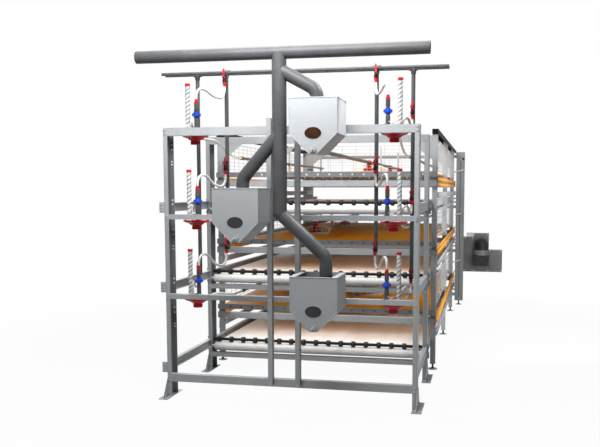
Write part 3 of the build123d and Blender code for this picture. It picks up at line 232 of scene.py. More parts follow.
Sockets = Mapping[str | int, object]


class ShaderTree:
    """The node tree of a material or world, written as expressions."""

    def __init__(self, holder: bpy.types.Material | bpy.types.World) -> None:
        """Start with an empty tree.

        Args:
            holder: the material or world.
        """
        self.holder = holder
        holder.use_nodes = True
        self.tree = holder.node_tree
        self.tree.nodes.clear()

    def node(self, kind: str, settings: Mapping[str, object] | None = None,
             inputs: Sockets | None = None) -> bpy.types.Node:
        """Add any node.

        Args:
            kind: the node's type.
            settings: attributes that are set first.
            inputs: values or links of its sockets.
        Returns:
            The new node.
        """
        made = self.tree.nodes.new(kind)
        for key, value in (settings or {}).items():
            setattr(made, key, value)
        for key, value in (inputs or {}).items():
            if isinstance(value, Signal):
                self.tree.links.new(value.socket, made.inputs[key])
            else:
                made.inputs[key].default_value = value
        return made

    def value(self, kind: str, settings: Mapping[str, object] | None = None,
              inputs: Sockets | None = None, output: str | int = 0) -> Signal:
        """One output of a new node."""
        return Signal(self, self.node(kind, settings, inputs).outputs[output])

    def math(self, operation: str, a: Signal | float, b: Signal | float) -> Signal:
        """A Math node on two values."""
        return self.value("ShaderNodeMath", {"operation": operation}, {0: a, 1: b})

    def mix(self, share: Signal, low: Signal | str, high: Signal | str) -> Signal:
        """Colour between two colours, each a signal or a code."""
        low, high = (srgb(tone) if isinstance(tone, str) else tone for tone in (low, high))
        return self.value("ShaderNodeMix", {"data_type": "RGBA"}, {0: share, 6: low, 7: high}, 2)

    def place(self, stretch: Point = EVEN) -> Signal:
        """Object coordinates, stretched along the axes."""
        at = self.value("ShaderNodeTexCoord", output="Object")
        return at if stretch == EVEN else self.value(
            "ShaderNodeVectorMath", {"operation": "MULTIPLY"}, {0: at, 1: stretch})

    def axis(self, letter: str) -> Signal:
        """One object coordinate."""
        return self.value("ShaderNodeSeparateXYZ", inputs={0: self.place()}, output=letter)

    def noise(self, scale: float, detail: float = 3.0, stretch: Point = EVEN) -> Signal:
        """Smooth noise of object coordinates."""
        return self.value("ShaderNodeTexNoise", inputs={"Vector": self.place(stretch),
                                                        "Scale": scale, "Detail": detail})

    def cells(self, scale: float) -> Signal:
        """A random value for each crystal-like cell."""
        colour = self.value("ShaderNodeTexVoronoi", inputs={"Vector": self.place(), "Scale": scale},
                            output="Color")
        return self.value("ShaderNodeSeparateColor", inputs={0: colour})

    def bump(self, height: Signal, strength: float, distance: float) -> Signal:
        """Normal that follows a height."""
        return self.value("ShaderNodeBump", inputs={"Strength": strength, "Distance": distance,
                                                    "Height": height})

    def seen(self) -> Signal:
        """1 for a ray of the camera, a reflection or glass, 0 for light on its way to a surface."""
        path = self.node("ShaderNodeLightPath").outputs
        return self.math("MINIMUM", sum(Signal(self, path[f"Is {kind} Ray"]) for kind in
                                        ("Camera", "Glossy", "Transmission")), 1.0)

    def blend(self, share: Signal, low: Signal, high: Signal, output: str) -> None:
        """Send a mix of two shaders to an output node."""
        mixed = self.value("ShaderNodeMixShader", inputs={0: share, 1: low, 2: high})
        self.node(output, inputs={0: mixed})


# Finishes


@dataclass(frozen=True)
class Finish:
    """A procedural material of two tones; each kind of finish says what feeds its shader."""

    name: str
    dark: str
    light: str

    def sockets(self, tree: ShaderTree) -> Sockets:
        """What feeds the shader, by socket."""
        raise NotImplementedError

    def build(self) -> bpy.types.Material:
        """Make the material.

        Returns:
            The material, its shader fed by what the finish says.
        """
        tree = ShaderTree(bpy.data.materials.new(self.name))
        shader = tree.value("ShaderNodeBsdfPrincipled", inputs=self.sockets(tree))
        tree.node("ShaderNodeOutputMaterial", inputs={0: shader})
        return tree.holder


@dataclass(frozen=True)
class Galvanised(Finish):
    """Zinc-coated sheet: crystal spangle, faint runs and a dull film."""

    metallic: float = 0.08
    spangle: float = 70.0
    rough: float = 0.5
    gloss: float = 0.2

    def sockets(self, tree: ShaderTree) -> Sockets:
        """Spangle, clouds and runs shade the colour; spangle and film roughen it.

        Args:
            tree: the material's tree.
        Returns:
            Values and signals by socket.
        """
        spangle, film = tree.cells(self.spangle), tree.noise(28.0, 4.0)
        clouds, runs = tree.noise(5.0, 4.0), tree.noise(6.0, 3.0, (9.0, 9.0, 0.6))
        share = spangle * 0.2 + clouds * 0.5 + runs * 0.3
        return {
            "Base Color": self.tone(tree, share.between(0.2, 0.8)),
            "Roughness": spangle * 0.06 + film * 0.14 + (self.rough - 0.1),
            "Metallic": self.metallic,
            "Specular IOR Level": self.gloss,
            "Normal": tree.bump(spangle * 0.3 + film * 0.7, 0.05, 0.001),
        }

    def tone(self, tree: ShaderTree, share: Signal) -> Signal:
        """Colour of the sheet."""
        return tree.mix(share, self.dark, self.light)


@dataclass(frozen=True)
class ZincWithPaintedShade(Galvanised):
    """Zinc-coated sections with painted shade on some faces: in folds, under rollers, away from the
    light.
    """

    # dull: painted shade, the colour that the shaded faces take
    dull: str = "6c6e70"
    faces: tuple[tuple[str, float], ...] = ()
    reach: Pair = (0.0004, 0.001)

    def tone(self, tree: ShaderTree, share: Signal) -> Signal:
        """Colour of the sheet, with painted shade where an axis has the value of one of the faces.
        """
        shade_share = sum(1.0 - abs(tree.axis(letter) - value).between(*self.reach)
                     for letter, value in self.faces)
        return tree.mix(shade_share, super().tone(tree, share), self.dull)


@dataclass(frozen=True)
class FootZinc(Galvanised):
    """Zinc-coated round pads under dark levelling screws."""

    pad_top: float = 0.009
    edge: float = 0.001
    screw: str = "232325"

    def tone(self, tree: ShaderTree, share: Signal) -> Signal:
        """Colour of the pad's sheet, and above the pad that of the screw."""
        above = tree.axis("Z").between(self.pad_top, self.pad_top + self.edge)
        return tree.mix(above, super().tone(tree, share), self.screw)


@dataclass(frozen=True)
class Moulded(Finish):
    """Moulded plastic or paint: two close tones, fine grain and soft scuffs."""

    scuff: str
    rough: float = 0.36
    grain: float = 900.0
    wear: float = 0.3
    gloss: float = 0.3

    def sockets(self, tree: ShaderTree) -> Sockets:
        """Clouds shade the colour, scuffs lighten and roughen it, grain stands up from it.

        Args:
            tree: the material's tree.
        Returns:
            Values and signals by socket.
        """
        clouds = tree.noise(9.0, 4.0)
        scuffs = tree.noise(46.0, 5.0, (1.0, 1.0, 0.35)).between(0.6, 0.76)
        base = tree.mix(clouds.between(0.3, 0.7), self.dark, self.light)
        return {
            "Base Color": tree.mix(scuffs * self.wear, base, self.scuff),
            "Roughness": clouds * 0.1 + scuffs * 0.14 + (self.rough - 0.06),
            "Specular IOR Level": self.gloss,
            "Normal": tree.bump(tree.noise(self.grain, 2.0), 0.06, 0.0006),
        }


@dataclass(frozen=True)
class Woven(Finish):
    """White belt of woven tape: fine crossing ribs, grey wear running with the belt."""

    ribs: float = 42.0

    def sockets(self, tree: ShaderTree) -> Sockets:
        """Wear and clouds shade the colour, ribs stand up from it.

        Args:
            tree: the material's tree.
        Returns:
            Values and signals by socket.
        """
        wear, clouds = tree.noise(7.0, 5.0, (1.0, 0.12, 1.0)), tree.noise(3.0, 3.0)
        ribs = tree.value("ShaderNodeTexWave", {"bands_direction": "Y"},
                          {"Vector": tree.place(), "Scale": self.ribs, "Distortion": 0.4}, "Fac")
        share = (wear * 0.7 + clouds * 0.3).between(0.34, 0.62)
        return {
            "Base Color": tree.mix(share, self.dark, self.light),
            "Roughness": wear * 0.2 + 0.42,
            "Normal": tree.bump(ribs, 0.12, 0.0008),
        }


@dataclass(frozen=True)
class RubberShaft(Finish):
    """Black rubber rings, dusty in patches, on a black shaft whose ends are bare steel."""

    steel: str
    bare_from: float = 0.958
    edge: float = 0.001

    def sockets(self, tree: ShaderTree) -> Sockets:
        """Dust lightens the rubber; past the last ring the shaft is metal.

        Args:
            tree: the material's tree.
        Returns:
            Values and signals by socket.
        """
        dust = tree.noise(30.0, 4.0)
        bare = abs(tree.axis("X")).between(self.bare_from - self.edge, self.bare_from + self.edge)
        rubber = tree.mix(dust.between(0.5, 0.8), self.dark, self.light)
        return {
            "Base Color": tree.mix(bare, rubber, self.steel),
            "Roughness": dust * 0.2 + 0.5 - bare * 0.25,
            "Metallic": bare * 0.7,
            "Normal": tree.bump(tree.noise(420.0, 2.0), 0.1, 0.0006),
        }


@dataclass(frozen=True)
class Pane(Finish):
    """Window pane with a patchy film of meal dust; its dark tone is painted shade of the hopper's
    inside.
    """

    def sockets(self, tree: ShaderTree) -> Sockets:
        """Dust lightens and roughens the pane."""
        film = tree.noise(24.0, 5.0, (1.0, 1.0, 0.4)).between(0.45, 0.75)
        return {
            "Base Color": tree.mix(film * 0.3, self.dark, self.light),
            "Roughness": film * 0.3 + 0.3,
            "Specular IOR Level": 0.15,
        }


SHEET = ("9fa2a5", "aeb1b4")
FINISHES = {
    Slot.GALVANISED: Galvanised("zinc_sheet", *SHEET),
    Slot.WIRE: Galvanised("zinc_wire", "a4a7ab", "bec1c5", 0.2, 160.0, 0.4),
    Slot.FEED_PIPE: Moulded("grey_feed_pipe", "424345", "494a4c", "555658", 0.42,
                            wear=0.12, gloss=0.22),
    Slot.BELT: Woven("white_belt", "e6e4e0", "f7f6f4"),
    Slot.ROLLER: Galvanised("bright_roller", "d6d8da", "eceded", 0.15, 40.0, 0.36),
    Slot.ORANGE: Moulded("orange_plastic", "ee9c0c", "f8b020", "fcc050", 0.5,
                         wear=0.15, gloss=0.08),
    Slot.BLACK: Moulded("black_plastic", "101011", "1d1d1f", "3c3c3e", 0.46, gloss=0.2),
    Slot.STRIP: Moulded("black_strip", "0a0a0b", "141415", "222224", 0.62, gloss=0.06),
    Slot.WATER_PIPE: Moulded("dark_water_pipe", "464849", "525455", "646668", 0.42, gloss=0.2),
    Slot.RED: Moulded("red_plastic", "b8141f", "d01e2a", "e05a60", 0.36, wear=0.2, gloss=0.2),
    Slot.BLUE: Moulded("blue_plastic", "2348b8", "325ad2", "6f8ee6", 0.38, gloss=0.2),
    Slot.HOSE: Moulded("white_hose", "cfcfcd", "dededc", "c4c4c0", 0.36, 600.0),
    Slot.TUBE: Moulded("clear_white_tube", "d4d6d6", "e4e6e6", "c8caca", 0.3, 500.0),
    Slot.MOTOR: Moulded("motor_black", "1e1e20", "2c2c2e", "4c4c4e", 0.5, 500.0, gloss=0.2),
}
HOPPER_ZINC = Galvanised("zinc_hopper", "a3a6a9", "abaeb1")
RUBBER = RubberShaft("rubber_on_shaft", "0d0d0d", "3a3a3a", "c4c7ca")
AUGER_STEEL = Galvanised("auger_steel", "a9acaf", "d4d7da", 0.3, 90.0, 0.34)
# Darker copy of the sheet zinc: painted shade on the cross channels and the rear frame, inside and
# behind the cage.
CHANNEL_ZINC = Galvanised("zinc_channel", "86898c", "929598")
# Faces with painted shade: inner faces of webs and folds, tops of the beams under the rollers, right
# faces of the feeder posts.
FOLD = AT.frame_depth / 2 - AT.wall
WEBS = tuple(("X", side * (AT.half_width - AT.wall)) for side in SIDES)
UPRIGHT_ZINC = ZincWithPaintedShade("zinc_upright", *SHEET, faces=(*WEBS, ("Y", FOLD)))
ROLLER_FRAME_ZINC = ZincWithPaintedShade(
    "zinc_roller_frame", *SHEET,
    faces=(*WEBS, ("Y", AT.roller_y + FOLD), *(("Z", top) for top in AT.under_beam)))
POST_ZINC = ZincWithPaintedShade("zinc_post", *SHEET,
                       faces=tuple(("X", post + AT.post_half) for post in AT.posts))
FOOT_ZINC = FootZinc("zinc_foot", "b4b7ba", "c8cbce")
# Pane tones: painted shade of the hoppers' insides seen through their windows.
BROWN_PANE = Pane("brown_pane", "2c1607", "43260f")
GREY_PANE = Pane("grey_pane", "36383a", "505254")
GREY_STRIPE = Moulded("grey_stripe", "787b7c", "888b8c", "a0a3a4", 0.4)
YELLOW = Moulded("yellow_pan", "efb02a", "f9cb4c", "fde08c", 0.4)
CASE_GREY = Moulded("grey_case", "5f6164", "696b6e", "7c7e82", 0.4)
BAND_GREY = Moulded("motor_band_grey", "737576", "7f8182", "909294", 0.44)
SHADOW = Moulded("hole_shadow", "161617", "1e1e20", "262628", 0.7)
# PALE_HOLE: painted light, pale discs for the bright background seen through holes.
PALE_HOLE = Moulded("hole_light", "ececec", "f8f8f8", "ffffff", 0.7)
CURB_SLOT = Moulded("curb_slot_shadow", "6b3a08", "7c460c", "8c5214", 0.6)


@cache
def paint(finish: Slot | Finish) -> bpy.types.Material:
    """The material of a finish, or of a slot's own finish, made once."""
    return paint(FINISHES[finish]) if isinstance(finish, Slot) else finish.build()


# Surfaces


def grid_faces(rows: int, columns: int) -> Array:
    """Quads of a grid of points whose last column joins its first.

    Args:
        rows: rows of points.
        columns: points in a row.
    Returns:
        Corner indices, four for each quad.
    """
    row, column = np.meshgrid(np.arange(rows - 1), np.arange(columns), indexing="ij")
    following = (column + 1) % columns
    low, high = row * columns, (row + 1) * columns
    corners = (low + column, low + following, high + following, high + column)
    return np.stack(corners, axis=-1).reshape(-1, 4)


def full_turn(count: int) -> Array:
    """Angles of a full turn in equal steps."""
    return np.arange(count) * 2 * np.pi / count


def centred(count: int, pitch: float) -> Array:
    """Places in a row about zero, a pitch apart."""
    return (np.arange(count) - (count - 1) / 2) * pitch


def unit(directions: Array) -> Array:
    """Directions brought to a length of 1."""
    return directions / np.linalg.norm(directions, axis=-1, keepdims=True)


def turn_to(direction: Point) -> Array:
    """Rotation that takes the Z axis to one of the other axes.

    Args:
        direction: a unit axis, with its sign.
    Returns:
        The matrix, its third column the direction.
    """
    third = np.array(direction, float)
    first = unit(np.cross(Y_AXIS if abs(third[1]) < STEEP else X_AXIS, third))
    return np.column_stack((first, np.cross(third, first), third))


@dataclass(frozen=True)
class Surface:
    """Points and quads of one mesh, kept as whole arrays."""

    points: Array
    faces: Array

    def __add__(self, other: "Surface") -> "Surface":
        """Both surfaces as one."""
        return joined((self, other))

    def moved(self, offset: Sequence[float]) -> "Surface":
        """The surface shifted by an offset."""
        return Surface(self.points + np.array(offset), self.faces)

    def turned(self, direction: Point) -> "Surface":
        """The surface with its Z axis laid along a direction."""
        return Surface(self.points @ turn_to(direction).T, self.faces)

    def repeated(self, places: Sequence[Sequence[float]]) -> "Surface":
        """A copy at every place, as one surface: point + place for all pairs."""
        return copies(np.array(places, float).reshape(-1, 1, 3) + self.points, self.faces)

    def ringed(self, count: int) -> "Surface":
        """Copies turned about Z in equal steps a: (x cos a - y sin a, x sin a + y cos a, z).

        Args:
            count: how many copies.
        Returns:
            All of them as one surface.
        """
        angle, (x, y, z) = full_turn(count)[:, None], self.points.T
        cosine, sine = np.cos(angle), np.sin(angle)
        spun = (x * cosine - y * sine, x * sine + y * cosine, z + 0 * angle)
        return copies(np.stack(spun, axis=-1), self.faces)


def copies(points: Array, faces: Array) -> Surface:
    """One surface of many copies, their face numbers shifted past the points before them."""
    jumps = np.arange(len(points)).reshape(-1, 1, 1) * points.shape[1]
    return Surface(points.reshape(-1, 3), (jumps + faces).reshape(-1, 4))


def joined(surfaces: Sequence[Surface]) -> Surface:
    """Several surfaces as one, their face numbers shifted past the points before them."""
    jumps = np.cumsum([0] + [len(s.points) for s in surfaces[:-1]])
    return Surface(np.vstack([s.points for s in surfaces]),
                   np.vstack([s.faces + jump for s, jump in zip(surfaces, jumps)]))


def gridded(points: Array) -> Surface:
    """Surface of rows of points, each row closed round."""
    return Surface(points.reshape(-1, 3), grid_faces(*points.shape[:2]))


def capped(points: Array) -> Surface:
    """Surface of closed rows of points, both ends drawn together at their middles."""
    ends = points[[0, -1]].mean(axis=1, keepdims=True) + 0 * points[[0, -1]]
    return gridded(np.concatenate((ends[:1], points, ends[1:])))


def lathe(profile: Sequence[Pair], sides: int, squash: Sequence[float] = (1.0, 1.0)) -> Surface:
    """Surface (r cos a, r sin a, z) of a profile of radius and height turned about Z.

    Args:
        profile: radius and height of each row.
        sides: steps of the turn.
        squash: stretch along X and Y, for an oval.
    Returns:
        The turned surface.
    """
    rows, angle = np.array(profile, float), full_turn(sides)
    radius, height = rows[:, :1], rows[:, 1:]
    return gridded(np.stack((squash[0] * radius * np.cos(angle),
                             squash[1] * radius * np.sin(angle), height + 0 * angle), axis=-1))


def spindle(profile: Profile, sides: int, squash: Sequence[float] = (1.0, 1.0)) -> Surface:
    """A turned profile closed to the axis at the height of its first and of its last row."""
    return lathe([(0.0, profile[0][1]), *profile, (0.0, profile[-1][1])], sides, squash)


def collar(inner: float, outer: float, length: float, chamfer: float, sides: int = 28) -> Surface:
    """Ring of rectangular section with chamfered outer corners, standing on Z = 0."""
    return lathe(((inner, 0.0), (outer - chamfer, 0.0), (outer, chamfer), (outer, length - chamfer),
                  (outer - chamfer, length), (inner, length), (inner, 0.0)), sides)


def plate(size: Point, chamfer: float) -> Surface:
    """Block with chamfered edges, centred on X and Y and standing on Z = 0: rings of eight corners.

    Args:
        size: its three sides.
        chamfer: how far its edges are cut.
    Returns:
        Four rings, closed by the middles of both ends.
    """
    height = size[2]
    sign_x = np.array([1, 1, -1, -1, -1, -1, 1, 1])
    sign_y = np.array([-1, 1, 1, 1, 1, -1, -1, -1])
    pull_x = np.array([0, 0, 1, 1, 0, 0, 1, 1]) * chamfer
    pull_y = np.array([1, 1, 0, 0, 1, 1, 0, 0]) * chamfer
    inset = np.array([1.0, 0.0, 0.0, 1.0]).reshape(-1, 1) * chamfer
    level = np.array([0.0, chamfer, height - chamfer, height]).reshape(-1, 1)
    x = sign_x * (size[0] / 2 - pull_x - inset)
    y = sign_y * (size[1] / 2 - pull_y - inset)
    return capped(np.stack((x, y, level + 0 * x), axis=-1))


def rib_ring(size: Point, chamfer: float, at: Point, count: int) -> Surface:
    """Chamfered blocks in a ring about Z, the first one at a place."""
    return plate(size, chamfer).moved(at).ringed(count)


def circles(middles: Array, along: Array, up: Array, radius: float, sides: int) -> Array:
    """Circles square to directions: middle + r (cos a side + sin a normal), side = up x along.

    Args:
        middles: a centre for each circle.
        along: the direction that it is square to.
        up: a direction that is never along that one.
        radius: radius of every circle.
        sides: points of a circle.
    Returns:
        Points by circle.
    """
    along = unit(along)
    side = unit(np.cross(up, along))
    normal = np.cross(along, side)
    angle = full_turn(sides).reshape(1, -1, 1)
    ring = np.cos(angle) * side[:, None] + np.sin(angle) * normal[:, None]
    return middles[:, None] + radius * ring


def bars(starts: Sequence[Point], ends: Sequence[Point], radius: float,
         sides: int = WIRE_SIDES) -> Surface:
    """Round bars between pairs of points: a circle about each end, closed by its centre.

    Args:
        starts: first end of each bar.
        ends: second end of each bar.
        radius: radius of every bar.
        sides: corners of its section.
    Returns:
        All bars as one surface.
    """
    first, last = np.array(starts, float), np.array(ends, float)
    along = unit(last - first)
    up = np.where(np.abs(along[:, 2:]) < STEEP, Z_AXIS, X_AXIS)
    rows = [circles(middle, along, up, reach, sides)
            for middle, reach in ((first, 0.0), (first, radius), (last, radius), (last, 0.0))]
    return copies(np.concatenate(rows, axis=1), grid_faces(4, sides))


def swept(path: Array, radius: float, sides: int, up: Point, closed: bool = False) -> Surface:
    """Circle carried along a path and kept square to its tangent.

    Args:
        path: points of the middle line.
        radius: radius of the section.
        sides: corners of the section.
        up: direction that is never along the path.
        closed: True where the last point is the first.
    Returns:
        The tube, with its ends closed or joined.
    """
    tangent = np.gradient(path, axis=0)
    if closed:
        tangent[0] = tangent[-1] = path[1] - path[-2]
    points = circles(path, tangent, np.array(up), radius, sides)
    return gridded(points) if closed else capped(points)


def oval(half: Sequence[float], height: float, count: int) -> Array:
    """Closed level path (a cos t, b sin t, height), its last point on its first."""
    turn = np.linspace(0.0, 2 * np.pi, count + 1)
    return np.column_stack((half[0] * np.cos(turn), half[1] * np.sin(turn), height + 0 * turn))


def hex_bolt(radius: float, head: float, washer: float = 0.0015) -> Surface:
    """Hexagon head on a round washer along Z: the head's radius is r cos 30 / cos(a mod 60 - 30).

    Args:
        radius: from the middle of the head to a corner.
        head: height of the head above the seat.
        washer: thickness of the washer.
    Returns:
        Washer and head.
    """
    angle, half_side = full_turn(BOLT_STEPS), math.pi / 6
    hexagon = radius * math.cos(half_side) / np.cos(np.mod(angle, 2 * half_side) - half_side)
    disc = np.full(BOLT_STEPS, WASHER_REACH * radius)
    radii = np.stack((0 * angle, disc, disc, hexagon, hexagon, 0 * angle))
    level = np.array([0.0, 0.0, washer, washer, head, head]).reshape(-1, 1)
    return gridded(
        np.stack((radii * np.cos(angle), radii * np.sin(angle), level + 0 * radii), axis=-1))


# Pieces


def add_object(name: str, data: bpy.types.ID) -> bpy.types.Object:
    """Put data into the scene.

    Args:
        name: the object's name.
        data: its mesh, curve, lamp or camera.
    Returns:
        The new object, at the origin.
    """
    made = bpy.data.objects.new(name, data)
    bpy.context.scene.collection.objects.link(made)
    return made


def welded(name: str, surface: Surface) -> bpy.types.Mesh:
    """Mesh of a surface, its points welded, its faces outwards and its sharp edges kept.

    Args:
        name: the mesh's name.
        surface: its points and quads.
    Returns:
        The mesh.
    """
    mesh = bpy.data.meshes.new(name)
    mesh.from_pydata(surface.points, [], surface.faces)
    form = bmesh.new()
    form.from_mesh(mesh)
    bmesh.ops.remove_doubles(form, verts=form.verts, dist=WELD)
    bmesh.ops.recalc_face_normals(form, faces=form.faces)
    form.to_mesh(mesh)
    form.free()
    mesh.shade_smooth()
    mesh.set_sharp_from_angle(angle=SHARP)
    return mesh


def add_piece(name: str, form: Surface | bpy.types.Curve, finish: Slot | Finish,
              slot: Slot | None = None, body: str = FRAME_BODY,
              replaces: Sequence[str] = ()) -> bpy.types.Object:
    """Make a surface or curve a piece of the cage.

    Args:
        name: the piece's name.
        form: its surface or curve.
        finish: the slot or finish that it shows.
        slot: the record's slot that the piece belongs to, where finish isn't one; not used.
        body: the CAD body that it rides on.
        replaces: CAD nodes that it stands for.
    Returns:
        The new object.
    """
    data = welded(name, form) if isinstance(form, Surface) else form
    data.materials.append(paint(finish))
    piece = add_object(name, data)
    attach(piece, body)
    if replaces:
        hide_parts(*replaces)
    LOG.info("%s: %s on %s", name, data.materials[0].name, body)
    return piece


# Stage


@dataclass(frozen=True)
class Lamp:
    """A soft rectangular lamp, its power in watts and the spread of its light in degrees."""

    name: str
    at: Point
    aim: Point
    size: Pair
    power: float
    spread: float = 180.0

    def build(self) -> None:
        """Hang the lamp, turned towards its aim."""
        data = bpy.data.lights.new(self.name, "AREA")
        data.shape = "RECTANGLE"
        data.size, data.size_y = self.size
        data.energy = self.power
        data.spread = math.radians(self.spread)
        lamp = add_object(self.name, data)
        x, y, z = unit(np.array(self.aim) - np.array(self.at))
        lamp.location = self.at
        lamp.rotation_euler = (math.acos(-z), 0.0, math.atan2(-x, y))
        lamp.visible_camera = False


@dataclass
class Studio:
    """Camera at the photograph's angle, pale floor and soft light.

    The floor shows a small share of its shadows inside the first radius of the fade, none past
    the second one.
    """

    camera_at: Point = (1.4599, -5.6882, 1.6323)
    tilt: float = 84.67
    heading: float = 11.50
    lens: float = 46.49
    sensor: float = 36.0
    shift: Pair = (-0.0477, 0.0635)
    view_depth: float = 200.0
    floor_size: float = 60.0
    floor_drop: float = 0.0005
    floor_middle: float = 2.4
    floor_tone: str = "b4b4b2"
    fade: Pair = (2.6, 5.0)
    shadow: float = 0.04
    sky_tone: str = "f4f6fa"
    sky_strength: float = 0.08
    lamps: tuple[Lamp, ...] = (
        Lamp("top", (0.0, -1.30, 3.6), (0.0, 0.2, 2.9), (1.8, 1.2), 142.0),
        Lamp("key", (-1.6, -4.6, 3.0), (0.0, 0.4, 1.2), (3.0, 3.0), 3.0),
        Lamp("roof", (0.0, 1.2, 5.2), (0.0, 1.2, 1.0), (4.0, 4.0), 205.0),
        Lamp("side", (2.5, 1.9, 1.0), (1.0, 4.7, 0.8), (1.4, 1.2), 52.0),
        Lamp("back", (-3.5, 8.5, 4.2), (0.0, 3.5, 1.0), (3.5, 3.5), 150.0),
        Lamp("right_top", (1.45, 0.15, 3.6), (0.45, -0.30, 2.2), (0.5, 0.5), 3.8, 30.0),
        *(Lamp(f"belt_{name}", (0.0, 1.15, height), (0.0, 1.15, 0.0), (1.8, 0.8), 5.5)
          for name, height in zip(TIER_NAMES, each_tier(0.488))),
    )

    def build(self) -> None:
        """Set up camera, floor, world and lamps."""
        self.camera()
        self.floor()
        self.world()
        for lamp in self.lamps:
            lamp.build()
        bpy.context.scene.view_settings.view_transform = "Standard"

    def camera(self) -> None:
        """Place the camera."""
        data = bpy.data.cameras.new("camera")
        data.sensor_fit = "HORIZONTAL"
        data.sensor_width = self.sensor
        data.lens = self.lens
        data.shift_x, data.shift_y = self.shift
        data.clip_end = self.view_depth
        camera = add_object("camera", data)
        camera.location = self.camera_at
        camera.rotation_euler = (math.radians(self.tilt), 0.0, math.radians(self.heading))
        bpy.context.scene.camera = camera

    def floor(self) -> None:
        """Pale floor that keeps the shadows near the cage and fades into the background."""
        half, drop = self.floor_size / 2, -self.floor_drop
        corners = [(x * half, y * half, drop) for x, y in ((-1, -1), (1, -1), (1, 1), (-1, 1))]
        mesh = bpy.data.meshes.new("floor")
        mesh.from_pydata(corners, [], [(0, 1, 2, 3)])
        tree = ShaderTree(bpy.data.materials.new("pale_floor"))
        paper = tree.value("ShaderNodeBsdfDiffuse", inputs={"Color": srgb(self.floor_tone)})
        white = tree.value("ShaderNodeEmission", inputs={"Color": WHITE, "Strength": 1.0})
        x, y = tree.axis("X"), tree.axis("Y") - self.floor_middle
        far = (x * x + y * y).between(*(radius ** 2 for radius in self.fade))
        share = tree.seen() * (far * self.shadow + (1.0 - self.shadow))
        tree.blend(share, paper, white, "ShaderNodeOutputMaterial")
        mesh.materials.append(tree.holder)
        add_object("floor", mesh)

    def world(self) -> None:
        """Even grey-white sky for light, white where the camera or a reflection sees it."""
        tree = ShaderTree(bpy.data.worlds.new("studio"))
        sky = tree.value("ShaderNodeBackground", inputs={"Color": srgb(self.sky_tone),
                                                         "Strength": self.sky_strength})
        white = tree.value("ShaderNodeBackground", inputs={"Color": WHITE})
        tree.blend(tree.seen(), sky, white, "ShaderNodeOutputWorld")
        bpy.context.scene.world = tree.holder


# Sub-assemblies


@dataclass
class WaterHoses:
    """The three hoses of every regulator: supply, flushing and delivery.

    The steps of supply and flushing hose are counted from the valve's middle and from where the
    hose lands. Those of the delivery hose are a distance outwards and shares of its way and fall.
    """

    diameter: float = 0.020
    order: int = 3
    resolution: int = 16
    bevel_steps: int = 4
    crown_rise: float = 0.220
    flush_inlet: Pair = (0.050, 0.020)
    outlet_end: float = 0.214
    outlet_drop: float = 0.018
    supply_leaves: Points = ((0.0, 0.0, -0.070), (0.0, 0.0, -0.165), (0.050, -0.120, -0.165))
    supply_lands: Points = ((-0.035, 0.085, 0.095), (0.0, 0.0, 0.070), (0.0, 0.0, 0.0))
    flush_leaves: Points = ((0.0, 0.0, -0.070), (0.0, 0.0, -0.125), (-0.004, -0.080, -0.141),
                            (-0.017, -0.165, -0.067))
    flush_lands: Points = ((0.0, 0.0, 0.088), (0.0, 0.0, 0.0))
    delivery_steps: Points = (
        (0.0, 0.0, 0.0), (0.0, 0.12, 0.0), (-0.006, 0.30, -0.06), (-0.014, 0.50, 0.42),
        (-0.008, 0.70, 0.92), (0.0, 0.88, 1.0), (0.0, 1.0, 1.0))
    supply_lengths: ByTier = (0.495, 0.485, 0.468)
    flush_length: float = 0.429
    delivery_length: float = 1.045

    def routes(self, tier: int) -> dict[str, tuple[Array, float]]:
        """Route and length of the hoses on the right side of a tier.

        Args:
            tier: the tier.
        Returns:
            Points and length of the supply, flushing and delivery hose.
        """
        beam, valves = AT.beam_tops[tier], AT.valves(tier)
        dome = beam - AT.dome_drop
        (x, y), (inlet_x, inlet_y) = AT.regulator, self.flush_inlet
        crown = np.array((*AT.column, beam + self.crown_rise))
        inlet = np.array((x + inlet_x, y + inlet_y, dome))
        outlet = np.array((x, self.outlet_end, dome - self.outlet_drop))
        way = (1.0, AT.nipple_start - outlet[1], AT.nipple[tier] - outlet[2])
        supply = (np.array(valves["shutoff"]) + self.supply_leaves, crown + self.supply_lands)
        flush = (np.array(valves["flush"]) + self.flush_leaves, inlet + self.flush_lands)
        return {"supply": (np.vstack(supply), self.supply_lengths[tier]),
                "flush": (np.vstack(flush), self.flush_length),
                "delivery": (outlet + np.array(self.delivery_steps) * way, self.delivery_length)}

    def build(self) -> None:
        """Make every hose, those on the left mirrored."""
        for tier, side in CORNERS:
            for kind, (points, length) in self.routes(tier).items():
                name = f"hose_{kind}_{TIER_NAMES[tier]}_{SIDE_NAMES[side]}"
                self.hose(name, points * (side, 1.0, 1.0), length)

    def hose(self, name: str, points: Array, length: float) -> None:
        """Args:
            name: the piece's name.
            points: its route.
            length: its real length; not used.
        """
        curve = bpy.data.curves.new(name, "CURVE")
        curve.dimensions = "3D"
        spline = curve.splines.new("NURBS")
        spline.points.add(len(points) - 1)
        spline.points.foreach_set("co", np.column_stack((points, np.ones(len(points)))).ravel())
        spline.order_u = self.order
        spline.use_endpoint_u = True
        spline.resolution_u = self.resolution
        curve.bevel_depth = self.diameter / 2
        curve.bevel_resolution = self.bevel_steps
        curve.use_fill_caps = True
        piece = add_piece(name, curve, Slot.HOSE, replaces=("water_hoses",))


